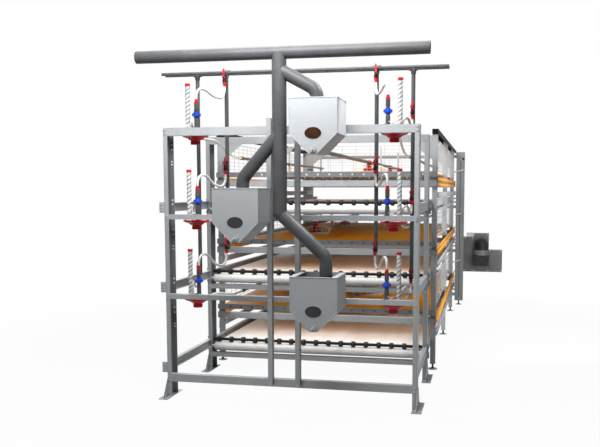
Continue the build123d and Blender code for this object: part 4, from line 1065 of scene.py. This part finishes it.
@dataclass
class WireNets:
    """Welded wire nets: doors on the right, fixed panels on the left, partitions at leg rows."""

    wire: float = 0.0017
    edge: float = 0.0026
    side_steps: Pair = (0.142, 0.035)
    part_steps: Pair = (0.1625, 0.040)
    least_gaps: int = 2
    part_half: float = 0.972
    tube_radius: float = 0.016
    door_gap: float = 0.004
    hinge_gap: float = 0.0126
    sleeve: CollarSize = (0.0043, 0.0088, 0.060, 0.0012, 20)
    sleeves: int = 3
    sleeve_step: float = 0.544
    door_strap: PlateSize = ((0.0036, 0.050, 0.0081), 0.0006)
    strap_lap: float = 0.002
    carrier_width: float = 0.024
    carrier_depth: float = 0.0036
    carrier_bevel: float = 0.0006
    eye_play: float = 0.0003
    eye_wall: float = 0.010
    eye_depth: float = 0.004

    def net(self, facing: Facing, at: float, across: Pair, height: Pair, steps: Pair,
            keep_out: Sequence[Pipe] = ()) -> Surface:
        """Flat net of crossing wires inside a stout border wire.

        Args:
            facing: the axis that the net is square to.
            at: its place on that axis.
            across: limits along the other level axis.
            height: lower and upper limit.
            steps: distance of upright and of level wires.
            keep_out: place, height and radius of each pipe that passes through.
        Returns:
            The net.
        """
        up, level = (np.linspace(low, high, max(self.least_gaps, round((high - low) / step)) + 1)
                     for (low, high), step in zip((across, height), steps))
        for place, high, radius in keep_out:
            up = up[np.abs(up - place) > radius + self.edge]
            level = level[np.abs(level - high) > radius + self.edge]
        uprights = bars(*(self.lift(facing, at - self.wire, up, end) for end in height), self.wire)
        lines = bars(*(self.lift(facing, at + self.wire, end, level) for end in across), self.wire)
        corners = self.lift(facing, at, np.repeat(across, 2), np.array(height)[[1, 0, 0, 1]])
        return joined((uprights, lines, bars(corners, np.roll(corners, -1, axis=0), self.edge)))

    @staticmethod
    def lift(facing: Facing, at: float, across: Array | float, height: Array | float) -> Array:
        """Points of a net's plane, from their places across it and up it."""
        held, level, up = np.broadcast_arrays(at, across, height)
        return np.column_stack((held, level, up) if facing is Facing.ACROSS else (level, held, up))

    def build(self) -> None:
        """Make doors, fixed panels and partitions."""
        nets = []
        inset = AT.leg_depth / 2 + self.edge
        for tier, name in enumerate(TIER_NAMES):
            floor, ceiling, hinge = AT.floor_top[tier], AT.ceiling[tier], AT.hinge[tier]
            low = floor + self.edge
            for bay, row in enumerate(AT.leg_rows[:-1], 1):
                span = (row + inset, row + AT.bay - inset)
                self.door(f"door_{name}_{bay}", span, low, hinge)
                nets.append(self.net(Facing.ACROSS, -AT.door_x, span, (low, hinge),
                                     self.side_steps))
            pipes = [(AT.hopper_x[tier], AT.auger[tier], self.tube_radius)]
            pipes += [(side * AT.nipple_x, AT.nipple[tier], AT.nipple_radius) for side in SIDES]
            for row in AT.leg_rows[1:]:
                nets.append(self.net(Facing.ALONG, row, (-self.part_half, self.part_half),
                                     (low, ceiling - self.edge), self.part_steps, pipes))
                nets += [self.carrier(row, pipe, (floor, ceiling)) for pipe in pipes]
        add_piece("wire_nets", joined(nets), Slot.WIRE, replaces=("wire_panels",))

    def carrier(self, row: float, pipe: Pipe, height: Pair) -> Surface:
        """Upright strap of a partition with the eye that holds a line.

        Args:
            row: the partition's place along the cage.
            pipe: place, height and radius of the line.
            height: lower and upper limit of the partition.
        Returns:
            The eye and the strap's two parts.
        """
        x, middle, radius = pipe
        outer = radius + self.eye_wall
        eye = collar(radius + self.eye_play, outer, self.eye_depth, self.carrier_bevel)
        parts = [eye.turned(Y_AXIS).moved((x, row - self.eye_depth / 2, middle))]
        reach = outer - self.strap_lap
        for low, high in ((height[0], middle - reach), (middle + reach, height[1])):
            strap = plate((self.carrier_width, self.carrier_depth, high - low), self.carrier_bevel)
            parts.append(strap.moved((x, row, low)))
        return joined(parts)

    def door(self, node: str, span: Pair, low: float, hinge: float) -> None:
        """Make one door with the sleeves that hang it on the hinge rod.

        Args:
            node: the CAD node that it stands for and rides on.
            span: limits of its opening along the cage.
            low: lower limit of its opening.
            hinge: height of the rod.
        """
        top = hinge - self.hinge_gap
        net = self.net(Facing.ACROSS, AT.door_x, (span[0] + self.door_gap, span[1] - self.door_gap),
                       (low + self.door_gap, top), self.side_steps)
        spots = sum(span) / 2 + centred(self.sleeves, self.sleeve_step)
        start = -self.sleeve[2] / 2
        sleeves = collar(*self.sleeve).turned(Y_AXIS).repeated(
            [(AT.door_x, spot + start, hinge) for spot in spots])
        straps = plate(*self.door_strap).repeated(
            [(AT.door_x, spot, top - self.strap_lap) for spot in spots])
        add_piece(f"wire_{node}", net + sleeves + straps, Slot.WIRE, body=node, replaces=(node,))


@dataclass
class FeedPans:
    """Feeding pans: white dish, yellow lining, slotted drum, wire guard, sleeve on the tube."""

    rim: Pair = (0.1505, 0.023)
    rim_roll: float = 0.003
    rim_steps: int = 7
    dish_outside: Profile = ((0.0, 0.0002), (0.136, 0.0002), (0.1415, 0.003))
    dish_inside: Profile = ((0.1385, 0.0045), (0.134, 0.003), (0.0, 0.003))
    lining: Profile = (
        (0.066, 0.0032), (0.066, 0.020), (0.090, 0.008), (0.130, 0.0045), (0.1375, 0.007),
        (0.1462, 0.022), (0.1470, 0.022), (0.1388, 0.0066), (0.131, 0.0032), (0.066, 0.0032))
    dish_sides: int = 40
    slats: RibRing = ((0.003, 0.012, 0.048), 0.0008, (0.0595, 0.0, 0.007), 16)
    hoop: CollarSize = (0.0565, 0.062, 0.006, 0.001, 32)
    hoop_rises: tuple[float, ...] = (0.004, 0.028, 0.052)
    core: Turning = (((0.046, 0.004), (0.046, 0.050), (0.061, 0.0545), (0.040, 0.060),
                      (0.030, 0.066), (0.030, 0.100)), 28)
    sleeve: CollarSize = (0.0163, 0.022, 0.076, 0.002, 28)
    tube_rise: float = 0.115
    guard: Profile = (
        (0.1470, 0.016), (0.1560, 0.036), (0.1612, 0.050), (0.1590, 0.0560), (0.1480, 0.0640),
        (0.1270, 0.0750), (0.1050, 0.0820), (0.0700, 0.0840), (0.0290, 0.0845))
    guard_hoops: Profile = ((0.1612, 0.0530), (0.105, 0.0820))
    guard_wire: float = 0.0026
    spokes: int = 20

    def build(self) -> None:
        """Make the pans of every cell."""
        places = [(AT.hopper_x[tier], row + AT.bay / 2, AT.floor_top[tier])
                  for tier in TIERS for row in AT.leg_rows[:-1]]
        add_piece("pan_bowls", self.bowl().repeated(places), Slot.TUBE, replaces=("feed_pans",))
        lining = lathe(self.lining, self.dish_sides)
        add_piece("pan_linings", lining.repeated(places), YELLOW, Slot.ORANGE)
        add_piece("pan_drums", self.centre().repeated(places), Slot.RED)
        add_piece("pan_guards", self.cover().repeated(places), Slot.TUBE)

    def bowl(self) -> Surface:
        """Low dish turned about Z, its rim rolled over half a circle.

        Returns:
            The dish on Z = 0.
        """
        lip = np.linspace(0.0, np.pi, self.rim_steps)
        rim = np.array(self.rim) + self.rim_roll * np.column_stack((np.cos(lip), np.sin(lip)))
        return lathe([*self.dish_outside, *rim, *self.dish_inside], self.dish_sides)

    def centre(self) -> Surface:
        """Slotted drum: slats between hoops round a core, with the neck and the sleeve above it.

        Returns:
            The drum on Z = 0.
        """
        hoops = collar(*self.hoop).repeated([(0.0, 0.0, rise) for rise in self.hoop_rises])
        sleeve_at = (0.0, -self.sleeve[2] / 2, self.tube_rise)
        return joined((rib_ring(*self.slats), hoops, spindle(*self.core),
                       collar(*self.sleeve).turned(Y_AXIS).moved(sleeve_at)))

    def cover(self) -> Surface:
        """Guard wires that stand on the dish, lean out to the rim and arch to the neck, with hoops.

        Returns:
            The guard of one pan.
        """
        radius, height = np.array(self.guard).T
        path = np.column_stack((radius, 0 * radius, height))
        spokes = swept(path, self.guard_wire, WIRE_SIDES, Y_AXIS).ringed(self.spokes)
        hoops = [swept(oval((reach, reach), rise, self.dish_sides), self.guard_wire, WIRE_SIDES,
                       Z_AXIS, True) for reach, rise in self.guard_hoops]
        return joined((spokes, *hoops))


@dataclass
class Hoppers:
    """Hopper trim: hemmed rims, seams, window hoop and pane, bracket bolts, auger bearing."""

    half_width: float = 0.169
    hem: float = 0.0032
    seam: float = 0.0024
    shoulder: float = 0.245
    bottom: float = 0.385
    bottom_half: float = 0.029
    window: Pair = (0.059, 0.041)
    hoop_reach: float = 0.001
    hoop_wire: float = 0.0013
    hoop_proud: float = 0.0004
    pane: Profile = ((1.006, 0.0), (1.0, 0.0012))
    pane_proud: float = 0.0002
    bolt: BoltSize = (0.0055, 0.006)
    bolt_inset: float = 0.035
    bracket: float = 0.002
    boss: CollarSize = (0.0225, 0.0255, 0.003, 0.0008, 28)

    def build(self) -> None:
        """Dress the three hoppers."""
        half = np.array(self.window[::-1])
        pane = spindle(self.pane, LOOP_STEPS, half).turned(FORWARD)
        path = oval(half + self.hoop_reach, 0.0, LOOP_STEPS)
        hoop = swept(path, self.hoop_wire, ROD_SIDES, Z_AXIS, True).turned(FORWARD)
        boss = collar(*self.boss).turned(FORWARD)
        for tier, name in enumerate(TIER_NAMES):
            x, front = AT.hopper_x[tier], AT.hopper_front
            middle = AT.hopper_top[tier] - self.shoulder
            trim = (self.edges(tier), self.bolts(tier), boss.moved((x, front, AT.auger[tier])),
                    hoop.moved((x, front - self.hoop_proud, middle)))
            add_piece(f"hopper_trim_{name}", joined(trim), Slot.GALVANISED)
            # The pane's dark tone is painted shade of the hopper's inside.
            add_piece(f"window_pane_{name}", pane.moved((x, front - self.pane_proud, middle)),
                      BROWN_PANE if tier == TIERS[-1] else GREY_PANE, Slot.TUBE)

    def edges(self, tier: int) -> Surface:
        """Hem round the rim and seams round the front.

        Args:
            tier: the hopper's tier.
        Returns:
            Round bars along the edges.
        """
        x, top, half = AT.hopper_x[tier], AT.hopper_top[tier], self.half_width
        front, back = AT.hopper_front, AT.post_front
        rim = np.array([(x + side * half, y, top - self.hem)
                        for side, y in ((-1, front), (1, front), (1, back), (-1, back))])
        outline = ((-half, 0.0), (-half, self.shoulder), (-self.bottom_half, self.bottom),
                   (self.bottom_half, self.bottom), (half, self.shoulder), (half, 0.0))
        face = [(x + out, front, top - drop) for out, drop in outline]
        hem = bars(rim, np.roll(rim, -1, axis=0), self.hem, ROD_SIDES)
        return hem + bars(face[:-1], face[1:], self.seam, ROD_SIDES)

    def bolts(self, tier: int) -> Surface:
        """Bolts of the bracket on the feeder post.

        Args:
            tier: the hopper's tier.
        Returns:
            Three bolts.
        """
        post = max(AT.posts) if AT.hopper_x[tier] > 0 else min(AT.posts)
        top = AT.hopper_top[tier]
        drops = (self.shoulder - self.bolt_inset, self.shoulder / 2, self.bolt_inset)
        return hex_bolt(*self.bolt).turned(FORWARD).repeated(
            [(post, AT.post_front - self.bracket, top - drop) for drop in drops])


@dataclass
class Regulators:
    """Trim of the water regulators: striped sight tubes, nut grips, dome screws, wing bolts."""

    stripe_pitch: float = 0.064
    stripe_width: float = 0.0095
    stripe_height: float = 0.356
    stripe_start: float = 0.006
    stripe_radii: Pair = (0.0168, 0.0176)
    stripe_steps: int = 18
    sight_rise: float = -0.044
    grips: RibRing = ((0.0026, 0.0034, 0.018), 0.0008, (0.0322, 0.0, 0.013), 18)
    union_rise: float = 0.080
    bead: Pair = (0.1025, -0.0045)
    screw: BoltSize = (0.0042, 0.004)
    screw_at: Point = (0.092, 0.0, 0.0)
    screws: int = 8
    rib: Points = ((0.096, 0.0, -0.0115), (0.062, 0.0, -0.0220), (0.043, 0.0, -0.0375))
    bead_radius: float = 0.0026
    ribs: int = 12
    knob_rise: float = -0.121
    knob_ribs: RibRing = ((0.0024, 0.0036, 0.026), 0.0007, (0.0352, 0.0, 0.003), 20)
    stem: Turning = (((0.0, 0.0), (0.011, 0.0), (0.011, 0.003), (0.0052, 0.005), (0.0052, 0.018),
                      (0.0035, 0.021), (0.0035, 0.026), (0.0, 0.027)), 14)
    wing_root: Pair = (0.004, 0.011)
    wing_reach: Pair = (0.022, 0.014)
    wing_radius: float = 0.0040
    wing_steps: int = 6
    wing_power: float = 1.5

    def build(self) -> None:
        """Dress all six regulators."""
        add_piece("sight_stripes", self.stripe().repeated(AT.regulators(AT.sight, self.sight_rise)),
                  GREY_STRIPE, Slot.TUBE)
        nuts = AT.regulators(AT.column, self.union_rise)
        knobs = AT.regulators(AT.regulator, self.knob_rise)
        add_piece("union_grips", rib_ring(*self.grips).repeated(nuts), Slot.BLUE)
        trim = (self.dome_trim().repeated(AT.regulators(AT.regulator, -AT.dome_drop)),
                rib_ring(*self.knob_ribs).repeated(knobs))
        add_piece("dome_trim", joined(trim), Slot.RED)
        spot = (AT.regulator[0], AT.beam_middle)
        add_piece("wing_bolts", self.wing_bolt().repeated(AT.regulators(spot, 0.0)),
                  Slot.WIRE, Slot.GALVANISED)

    def stripe(self) -> Surface:
        """Two ribbons of thin rectangular section up the tube: (r cos a, r sin a, p a / 2 pi).

        Returns:
            Both ribbons, with closed ends.
        """
        turns = self.stripe_height / self.stripe_pitch
        angle = np.linspace(0.0, 2 * np.pi * turns, round(self.stripe_steps * turns)).reshape(-1, 1)
        radius = np.array(self.stripe_radii)[[0, 1, 1, 0]]
        rise = np.array([-0.5, -0.5, 0.5, 0.5]) * self.stripe_width
        height = angle / (2 * np.pi) * self.stripe_pitch + self.stripe_start
        points = (radius * np.cos(angle), radius * np.sin(angle), height + rise)
        return capped(np.stack(points, axis=-1)).ringed(2)

    def dome_trim(self) -> Surface:
        """Beaded rim, cover screws and ribs under the cone of a dome, from its top downwards.

        Returns:
            The trim of one dome.
        """
        radius, height = self.bead
        path = oval((radius, radius), height, LOOP_STEPS)
        bead = swept(path, self.bead_radius, ROD_SIDES, Z_AXIS, True)
        screws = hex_bolt(*self.screw).moved(self.screw_at).ringed(self.screws)
        ribs = bars(self.rib[:-1], self.rib[1:], self.bead_radius).ringed(self.ribs)
        return joined((bead, screws, ribs))

    def wing_bolt(self) -> Surface:
        """Screw with a collar and two wings, which rise with a power of their reach.

        Returns:
            One bolt on Z = 0.
        """
        step = np.linspace(0.0, 1.0, self.wing_steps)
        (x, z), (out, up) = self.wing_root, self.wing_reach
        wing = np.column_stack((x + out * step, 0 * step, z + up * step ** self.wing_power))
        return lathe(*self.stem) + swept(wing, self.wing_radius, ROD_SIDES, Y_AXIS).ringed(2)


@dataclass
class Valves:
    """Trim of the valves: pivot caps and ribs on the levers, packing nuts on the bodies."""

    face: float = 0.0223
    cap: Turning = (((0.0, 0.0), (0.0085, 0.0), (0.0085, 0.005), (0.006, 0.008), (0.0, 0.009)), 20)
    rib: PlateSize = ((0.004, 0.003, 0.044), 0.0008)
    rib_proud: float = 0.0005
    rib_rise: float = 0.014
    nut: CollarSize = (0.0145, 0.0185, 0.020, 0.0022, 8)
    nut_rises: Pair = (-0.034, 0.014)

    def build(self) -> None:
        """Dress every valve and lever."""
        cap = lathe(*self.cap).turned(FORWARD).moved((0.0, -self.face, 0.0))
        rib = plate(*self.rib).moved((0.0, -self.face - self.rib_proud, self.rib_rise))
        nuts = []
        for tier, side in CORNERS:
            name = f"{TIER_NAMES[tier]}_{SIDE_NAMES[side]}"
            for kind, (x, y, z) in AT.valves(tier).items():
                at, lever = (side * x, y, z), f"{kind}_lever_{name}"
                add_piece(f"lever_cap_{kind}_{name}", cap.moved(at), Slot.BLACK, body=lever)
                add_piece(f"lever_rib_{kind}_{name}", rib.moved(at), Slot.RED, body=lever)
                nuts += [(side * x, y, z + rise) for rise in self.nut_rises]
        add_piece("valve_nuts", collar(*self.nut).repeated(nuts), Slot.BLACK)


@dataclass
class Fasteners:
    """Hexagon bolts that hold frames, legs, rails and curbs together.

    Bolts of legs and bearing plates are given by their height on the lowest tier.
    """

    bolt: BoltSize = (0.0075, 0.007)
    beam_shares: Pair = (0.26, 0.74)
    ear_out: float = 0.021
    ear_bases: ByTier = (0.197, 0.831, 1.451)
    ear_rises: tuple[float, ...] = (0.018, 0.041, 0.064)
    under_beam_bolt: float = 0.148
    leg_bolts: Profile = ((0.0, 0.580), (0.0025, 0.3415), (0.0025, 0.449))
    plate_bolts: Pair = (0.191, 0.2983)
    plate_reach: float = 0.024

    def build(self) -> None:
        """Bolt up the front and roller frames, the legs and the ears."""
        bolt = hex_bolt(*self.bolt)
        bolts = [bolt.turned(FORWARD).repeated(self.front_places())]
        bolts += [bolt.turned((side, 0.0, 0.0)).repeated(self.side_places(side)) for side in SIDES]
        add_piece("frame_bolts", joined(bolts), Slot.WIRE, Slot.GALVANISED)

    def front_places(self) -> list[Point]:
        """Bolts that face the front: beam ends, posts, ears and the beams of the roller frame.

        Returns:
            Places on the front faces.
        """
        edge, front = AT.half_width - AT.flange / 2, -AT.frame_depth / 2
        beams = [AT.sill, *zip(AT.beam_tops, AT.beam_heights)]
        ends = [(side * edge, front, top - height * share)
                for top, height in beams for side in SIDES for share in self.beam_shares]
        posts = [(post, AT.post_front, top - height / 2)
                 for top, height in beams for post in AT.posts]
        ears = [(-AT.half_width - self.ear_out, front, base + rise)
                for base in self.ear_bases for rise in self.ear_rises]
        rollers = [(side * edge, AT.roller_y + front, height)
                   for height in each_tier(self.under_beam_bolt) for side in SIDES]
        return ends + posts + ears + rollers

    def side_places(self, side: int) -> list[Point]:
        """Bolts that face one side: bearing plates, legs with floor channels, rails and curbs.

        Args:
            side: 1 for right, -1 for left.
        Returns:
            Places on that side's outer faces.
        """
        legs = [(side * (AT.leg_outer + out), row, height) for out, base in self.leg_bolts
                for height in each_tier(base) for row in AT.leg_rows]
        return legs + [(side * AT.bearing_face, AT.roller_y + reach, height)
                       for base in self.plate_bolts for height in each_tier(base)
                       for reach in (-self.plate_reach, self.plate_reach)]


@dataclass
class Perforations:
    """Punched holes: eyes along floor channels, slots along curbs, pairs up the front uprights;
    their openings are thin discs and plates of painted shade and painted light.
    """

    eyes: int = 18
    eye_pitch: float = 0.106
    eye_rim: CollarSize = (0.0088, 0.0116, 0.0014, 0.0005, 10)
    eye_hole: Disc = (0.0089, 16)
    eye_forward: float = 0.060
    eye_drops: tuple[float, ...] = (0.023, 0.029, 0.029)
    upright_hole: Disc = (0.0062, 12)
    hole_rises: tuple[float, ...] = (0.108, 0.075, -0.122, -0.162, -0.252, -0.275)
    hole_spot: Pair = (0.9620, 0.0593)
    disc: float = 0.0004
    slot: PlateSize = ((0.026, 0.078, 0.0006), 0.0002)
    slot_span: Pair = (1.330, 5.250)
    slot_pitch: float = 0.116
    slot_x: float = 1.0295
    slot_base: float = 0.461

    def build(self) -> None:
        """Mark the holes of channels, uprights and curbs with painted shade and painted light."""
        lower, middle, upper = (self.channel_eyes(tier) for tier in TIERS)
        rim, hole = collar(*self.eye_rim).turned(FORWARD), self.hole(*self.eye_hole)
        add_piece("channel_eyes", rim.repeated(lower + middle + upper), Slot.GALVANISED)
        # Dark discs: painted shade seen through the holes of the lower tiers.
        add_piece("channel_holes", hole.repeated(lower + middle), SHADOW, Slot.BLACK)
        # Pale discs: painted light seen through the holes of the upper tier.
        add_piece("channel_light_holes", hole.repeated(upper), PALE_HOLE, Slot.TUBE)
        top, (x, y) = AT.beam_tops[-1], self.hole_spot
        heights = [beam + rise for beam in AT.beam_tops for rise in self.hole_rises
                   if beam + rise < top]
        spots = [(side * x, y, height) for side in SIDES for height in heights]
        # Pale discs: painted light seen through the holes of the uprights.
        holes = self.hole(*self.upright_hole).repeated(spots)
        add_piece("upright_holes", holes, PALE_HOLE, Slot.TUBE)
        # Dark plates: painted shade in the curbs' slots.
        slots = [plate(*self.slot).turned((side, 0.0, 0.0)).repeated(
            [(side * self.slot_x, y, height) for height in each_tier(self.slot_base)
             for y in np.arange(*self.slot_span, self.slot_pitch)]) for side in SIDES]
        add_piece("curb_slots", joined(slots), CURB_SLOT, Slot.ORANGE)

    def channel_eyes(self, tier: int) -> list[Point]:
        """Places of a tier's eyes, in the front of its floor channels."""
        across = centred(self.eyes, self.eye_pitch)
        return [(x, row - self.eye_forward, AT.floor_top[tier] - drop)
                for row, drop in zip(AT.leg_rows, self.eye_drops) for x in across]

    def hole(self, radius: float, sides: int) -> Surface:
        """Thin disc that faces the front."""
        return spindle(((radius, 0.0), (radius, self.disc)), sides).turned(FORWARD)


@dataclass
class Bearings:
    """Flanged bearings of the rollers and press shafts, and the hubs of the press rings."""

    big: Turning = (((0.0130, 0.0), (0.022, 0.0), (0.022, 0.003), (0.018, 0.0055),
                     (0.0130, 0.0055), (0.0130, 0.0)), 28)
    small: Turning = (((0.0095, 0.0), (0.016, 0.0), (0.016, 0.003), (0.013, 0.005),
                       (0.0095, 0.005), (0.0095, 0.0)), 24)
    rings: int = 17
    ring_pitch: float = 0.112
    hub: Turning = (((0.0215, -0.018), (0.0245, -0.015), (0.0245, 0.015), (0.0215, 0.018)), 16)
    # sleeve: black over the shaft, its extra thickness painted shade for the shadow line under the
    # shaft
    sleeve: Turning = (((0.0135, -0.9350), (0.0135, 0.9350)), 20)

    def build(self) -> None:
        """Put hubs and a sleeve on every press shaft, and a bearing on every bearing plate."""
        hubs = spindle(*self.hub).turned(X_AXIS).repeated(
            [(x, 0.0, 0.0) for x in centred(self.rings, self.ring_pitch)])
        # The sleeve is painted shade: it thickens the shaft to stand for the shadow line under it.
        hubs += spindle(*self.sleeve).turned(X_AXIS)
        for name, height in zip(TIER_NAMES, AT.ring_axis):
            add_piece(f"ring_hubs_{name}", hubs.moved((0.0, AT.roller_y, height)), Slot.BLACK,
                      body=f"ring_shaft_{name}")
        kinds = ((lathe(*self.big), AT.roller_axis), (lathe(*self.small), AT.ring_axis))
        shells = [shell.turned((side, 0.0, 0.0)).repeated(
            [(side * AT.bearing_face, AT.roller_y, height) for height in axes])
            for side in SIDES for shell, axes in kinds]
        add_piece("bearing_shells", joined(shells), Slot.BLACK)


@dataclass
class PipeFittings:
    """Tees, saddles and clips on the water pipes."""

    tee: CollarSize = (0.0160, 0.0205, 0.046, 0.0025, 24)
    tee_base: float = 2.5240
    saddle: CollarSize = (0.0125, 0.0195, 0.064, 0.0025, 24)
    supply_height: float = 2.566
    clip: CollarSize = (0.0125, 0.0158, 0.018, 0.0015, 20)
    clip_forward: float = 0.030

    def build(self) -> None:
        """Make the fittings of the supply pipes, drop pipes and drinking lines."""
        drops = [(side * x, y) for x, y in (AT.inner_drop, AT.outer_drop) for side in SIDES]
        along = [AT.nipple_start, *(row - self.clip_forward for row in AT.leg_rows)]
        clips = [(side * AT.nipple_x, y, AT.nipple[tier]) for tier, side in CORNERS for y in along]
        start = -self.saddle[2] / 2
        fittings = (collar(*self.tee).repeated([(x, y, self.tee_base) for x, y in drops]),
                    collar(*self.saddle).turned(X_AXIS).repeated(
                        [(x + start, y, self.supply_height) for x, y in drops]),
                    collar(*self.clip).turned(Y_AXIS).repeated(clips))
        add_piece("pipe_tees", joined(fittings), Slot.WATER_PIPE)


@dataclass
class DriveEnd:
    """Trim of the drive end: motor band and fins, case screws, oil cup, latch pins, slots of painted
    shade.
    """

    motor: Point = (1.403, 5.305, 0.715)
    fins: RibRing = ((0.005, 0.003, 0.068), 0.0008, (0.0968, 0.0, 0.006), 36)
    band: CollarSize = (0.0951, 0.0962, 0.076, 0.0005, 48)
    band_rise: float = 0.002
    lip: CollarSize = (0.0951, 0.1000, 0.010, 0.002, 40)
    lip_rises: tuple[float, ...] = (-0.006, 0.076, 0.138)
    foot: PlateSize = ((0.030, 0.030, 0.014), 0.003)
    foot_at: Point = (0.098, -0.070, -0.140)
    screw: BoltSize = (0.0055, 0.005)
    case_front: float = 5.400
    screw_low: float = 0.490
    screw_spots: Profile = ((1.166, 0.948), (1.274, 0.948), (1.306, 0.998), (1.484, 0.998),
                            (1.516, 0.763), (1.669, 0.763))
    cup: PlateSize = ((0.096, 0.080, 0.052), 0.004)
    cup_at: Point = (1.238, 5.450, 0.964)
    lid: PlateSize = ((0.100, 0.084, 0.008), 0.002)
    lid_at: Point = (1.238, 5.450, 1.014)
    pin: Disc = (0.0105, 12)
    pin_starts: Points = ((1.003, 5.362, 1.874), (1.026, 5.362, 1.279), (1.008, 5.362, 0.607))
    pin_ends: Points = ((1.134, 5.362, 1.901), (1.109, 5.362, 1.294), (1.105, 5.362, 0.637))
    # slot: a thin black plate, painted shade of the slot in a rear upright
    slot: PlateSize = ((0.0065, 0.0006, 1.900), 0.0002)
    slot_at: Point = (1.092, 5.3738, 0.120)
    knob: Turning = (((0.014, 0.0), (0.016, 0.004), (0.016, 0.018), (0.012, 0.022)), 20)
    knob_at: Point = (1.130, 5.374, 2.054)

    def build(self) -> None:
        """Dress motor, chain case and rear uprights."""
        self.dress_motor()
        spots = [(x, self.case_front, z)
                 for x, high in self.screw_spots for z in (self.screw_low, high)]
        add_piece("case_screws", hex_bolt(*self.screw).turned(FORWARD).repeated(spots),
                  Slot.WIRE, Slot.GALVANISED)
        cup = plate(*self.cup).moved(self.cup_at) + plate(*self.lid).moved(self.lid_at)
        add_piece("oil_cup", cup, Slot.TUBE)
        starts, ends = np.array(self.pin_starts), np.array(self.pin_ends)
        pins = [bars(starts * (side, 1, 1), ends * (side, 1, 1), *self.pin) for side in SIDES]
        add_piece("latch_pins", joined(pins), Slot.HOSE)
        knob = spindle(*self.knob).turned(FORWARD)
        # Slots: thin black plates of painted shade in the rear uprights.
        marks = [form.repeated([(side * x, y, z) for side in SIDES])
                 for form, (x, y, z) in ((plate(*self.slot), self.slot_at), (knob, self.knob_at))]
        add_piece("upright_slots", joined(marks), Slot.BLACK)

    def dress_motor(self) -> None:
        """Finned band, lips and feet of the motor, about its axis."""
        band = rib_ring(*self.fins) + collar(*self.band).moved((0.0, 0.0, self.band_rise))
        add_piece("motor_band", band.moved(self.motor), BAND_GREY, Slot.MOTOR)
        x, y, z = self.foot_at
        trim = (collar(*self.lip).repeated([(0.0, 0.0, rise) for rise in self.lip_rises]),
                plate(*self.foot).repeated([(side * x, y, z) for side in SIDES]))
        add_piece("motor_trim", joined(trim).moved(self.motor), Slot.MOTOR)


class CadFinishes:
    """Finishes of the CAD nodes that stay in view."""

    def build(self) -> None:
        """Give every shown CAD node its material."""
        single = {
            Slot.GALVANISED: ("front_cross_beams", "long_rails", "cage_legs"),
            Slot.BLACK: ("valve_bodies",),
            Slot.ORANGE: ("cage_floors", "side_curbs"),
            Slot.STRIP: ("top_strips",),
            Slot.BELT: ("manure_belts",),
            Slot.MOTOR: ("drive_motor",),
            Slot.FEED_PIPE: ("feed_pipes", "feed_tubes"),
            Slot.WATER_PIPE: ("water_pipes", "regulator_columns"),
            Slot.BLUE: ("regulator_unions",),
            Slot.RED: ("regulator_domes", "red_fittings"),
            Slot.TUBE: ("sight_tubes",),
            CASE_GREY: ("drive_housing",),
            CHANNEL_ZINC: ("cross_members", "rear_frame"),
            FOOT_ZINC: ("levelling_feet",),
            UPRIGHT_ZINC: ("front_uprights",),
            ROLLER_FRAME_ZINC: ("roller_frame",),
            POST_ZINC: ("feeder_posts",),
        }
        by_tier = {
            RUBBER: ("ring_shaft_{}",),
            AUGER_STEEL: ("auger_{}",),
            HOPPER_ZINC: ("hopper_{}",),
            Slot.ROLLER: ("idle_roller_{}", "drive_roller_{}"),
            Slot.RED: [f"{kind}_lever_{{}}_{side}"
                       for side in SIDE_NAMES.values() for kind in ("shutoff", "flush")],
        }
        chosen = {node: finish for finish, nodes in single.items() for node in nodes}
        chosen |= {node.format(name): finish for name in TIER_NAMES
                   for finish, nodes in by_tier.items() for node in nodes}
        for node, finish in chosen.items():
            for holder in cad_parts[node].material_slots:
                holder.material = paint(finish)
            LOG.info("%s: %s", node, paint(finish).name)


def main() -> None:
    """Build the studio and every sub-assembly."""
    logging.basicConfig(level=logging.INFO, format="%(message)s")
    for assembly in (Studio, WaterHoses, CadFinishes, WireNets, FeedPans, Hoppers, Regulators,
                     Valves, Fasteners, Perforations, Bearings, PipeFittings, DriveEnd):
        assembly().build()


if __name__ == "__main__":
    main()
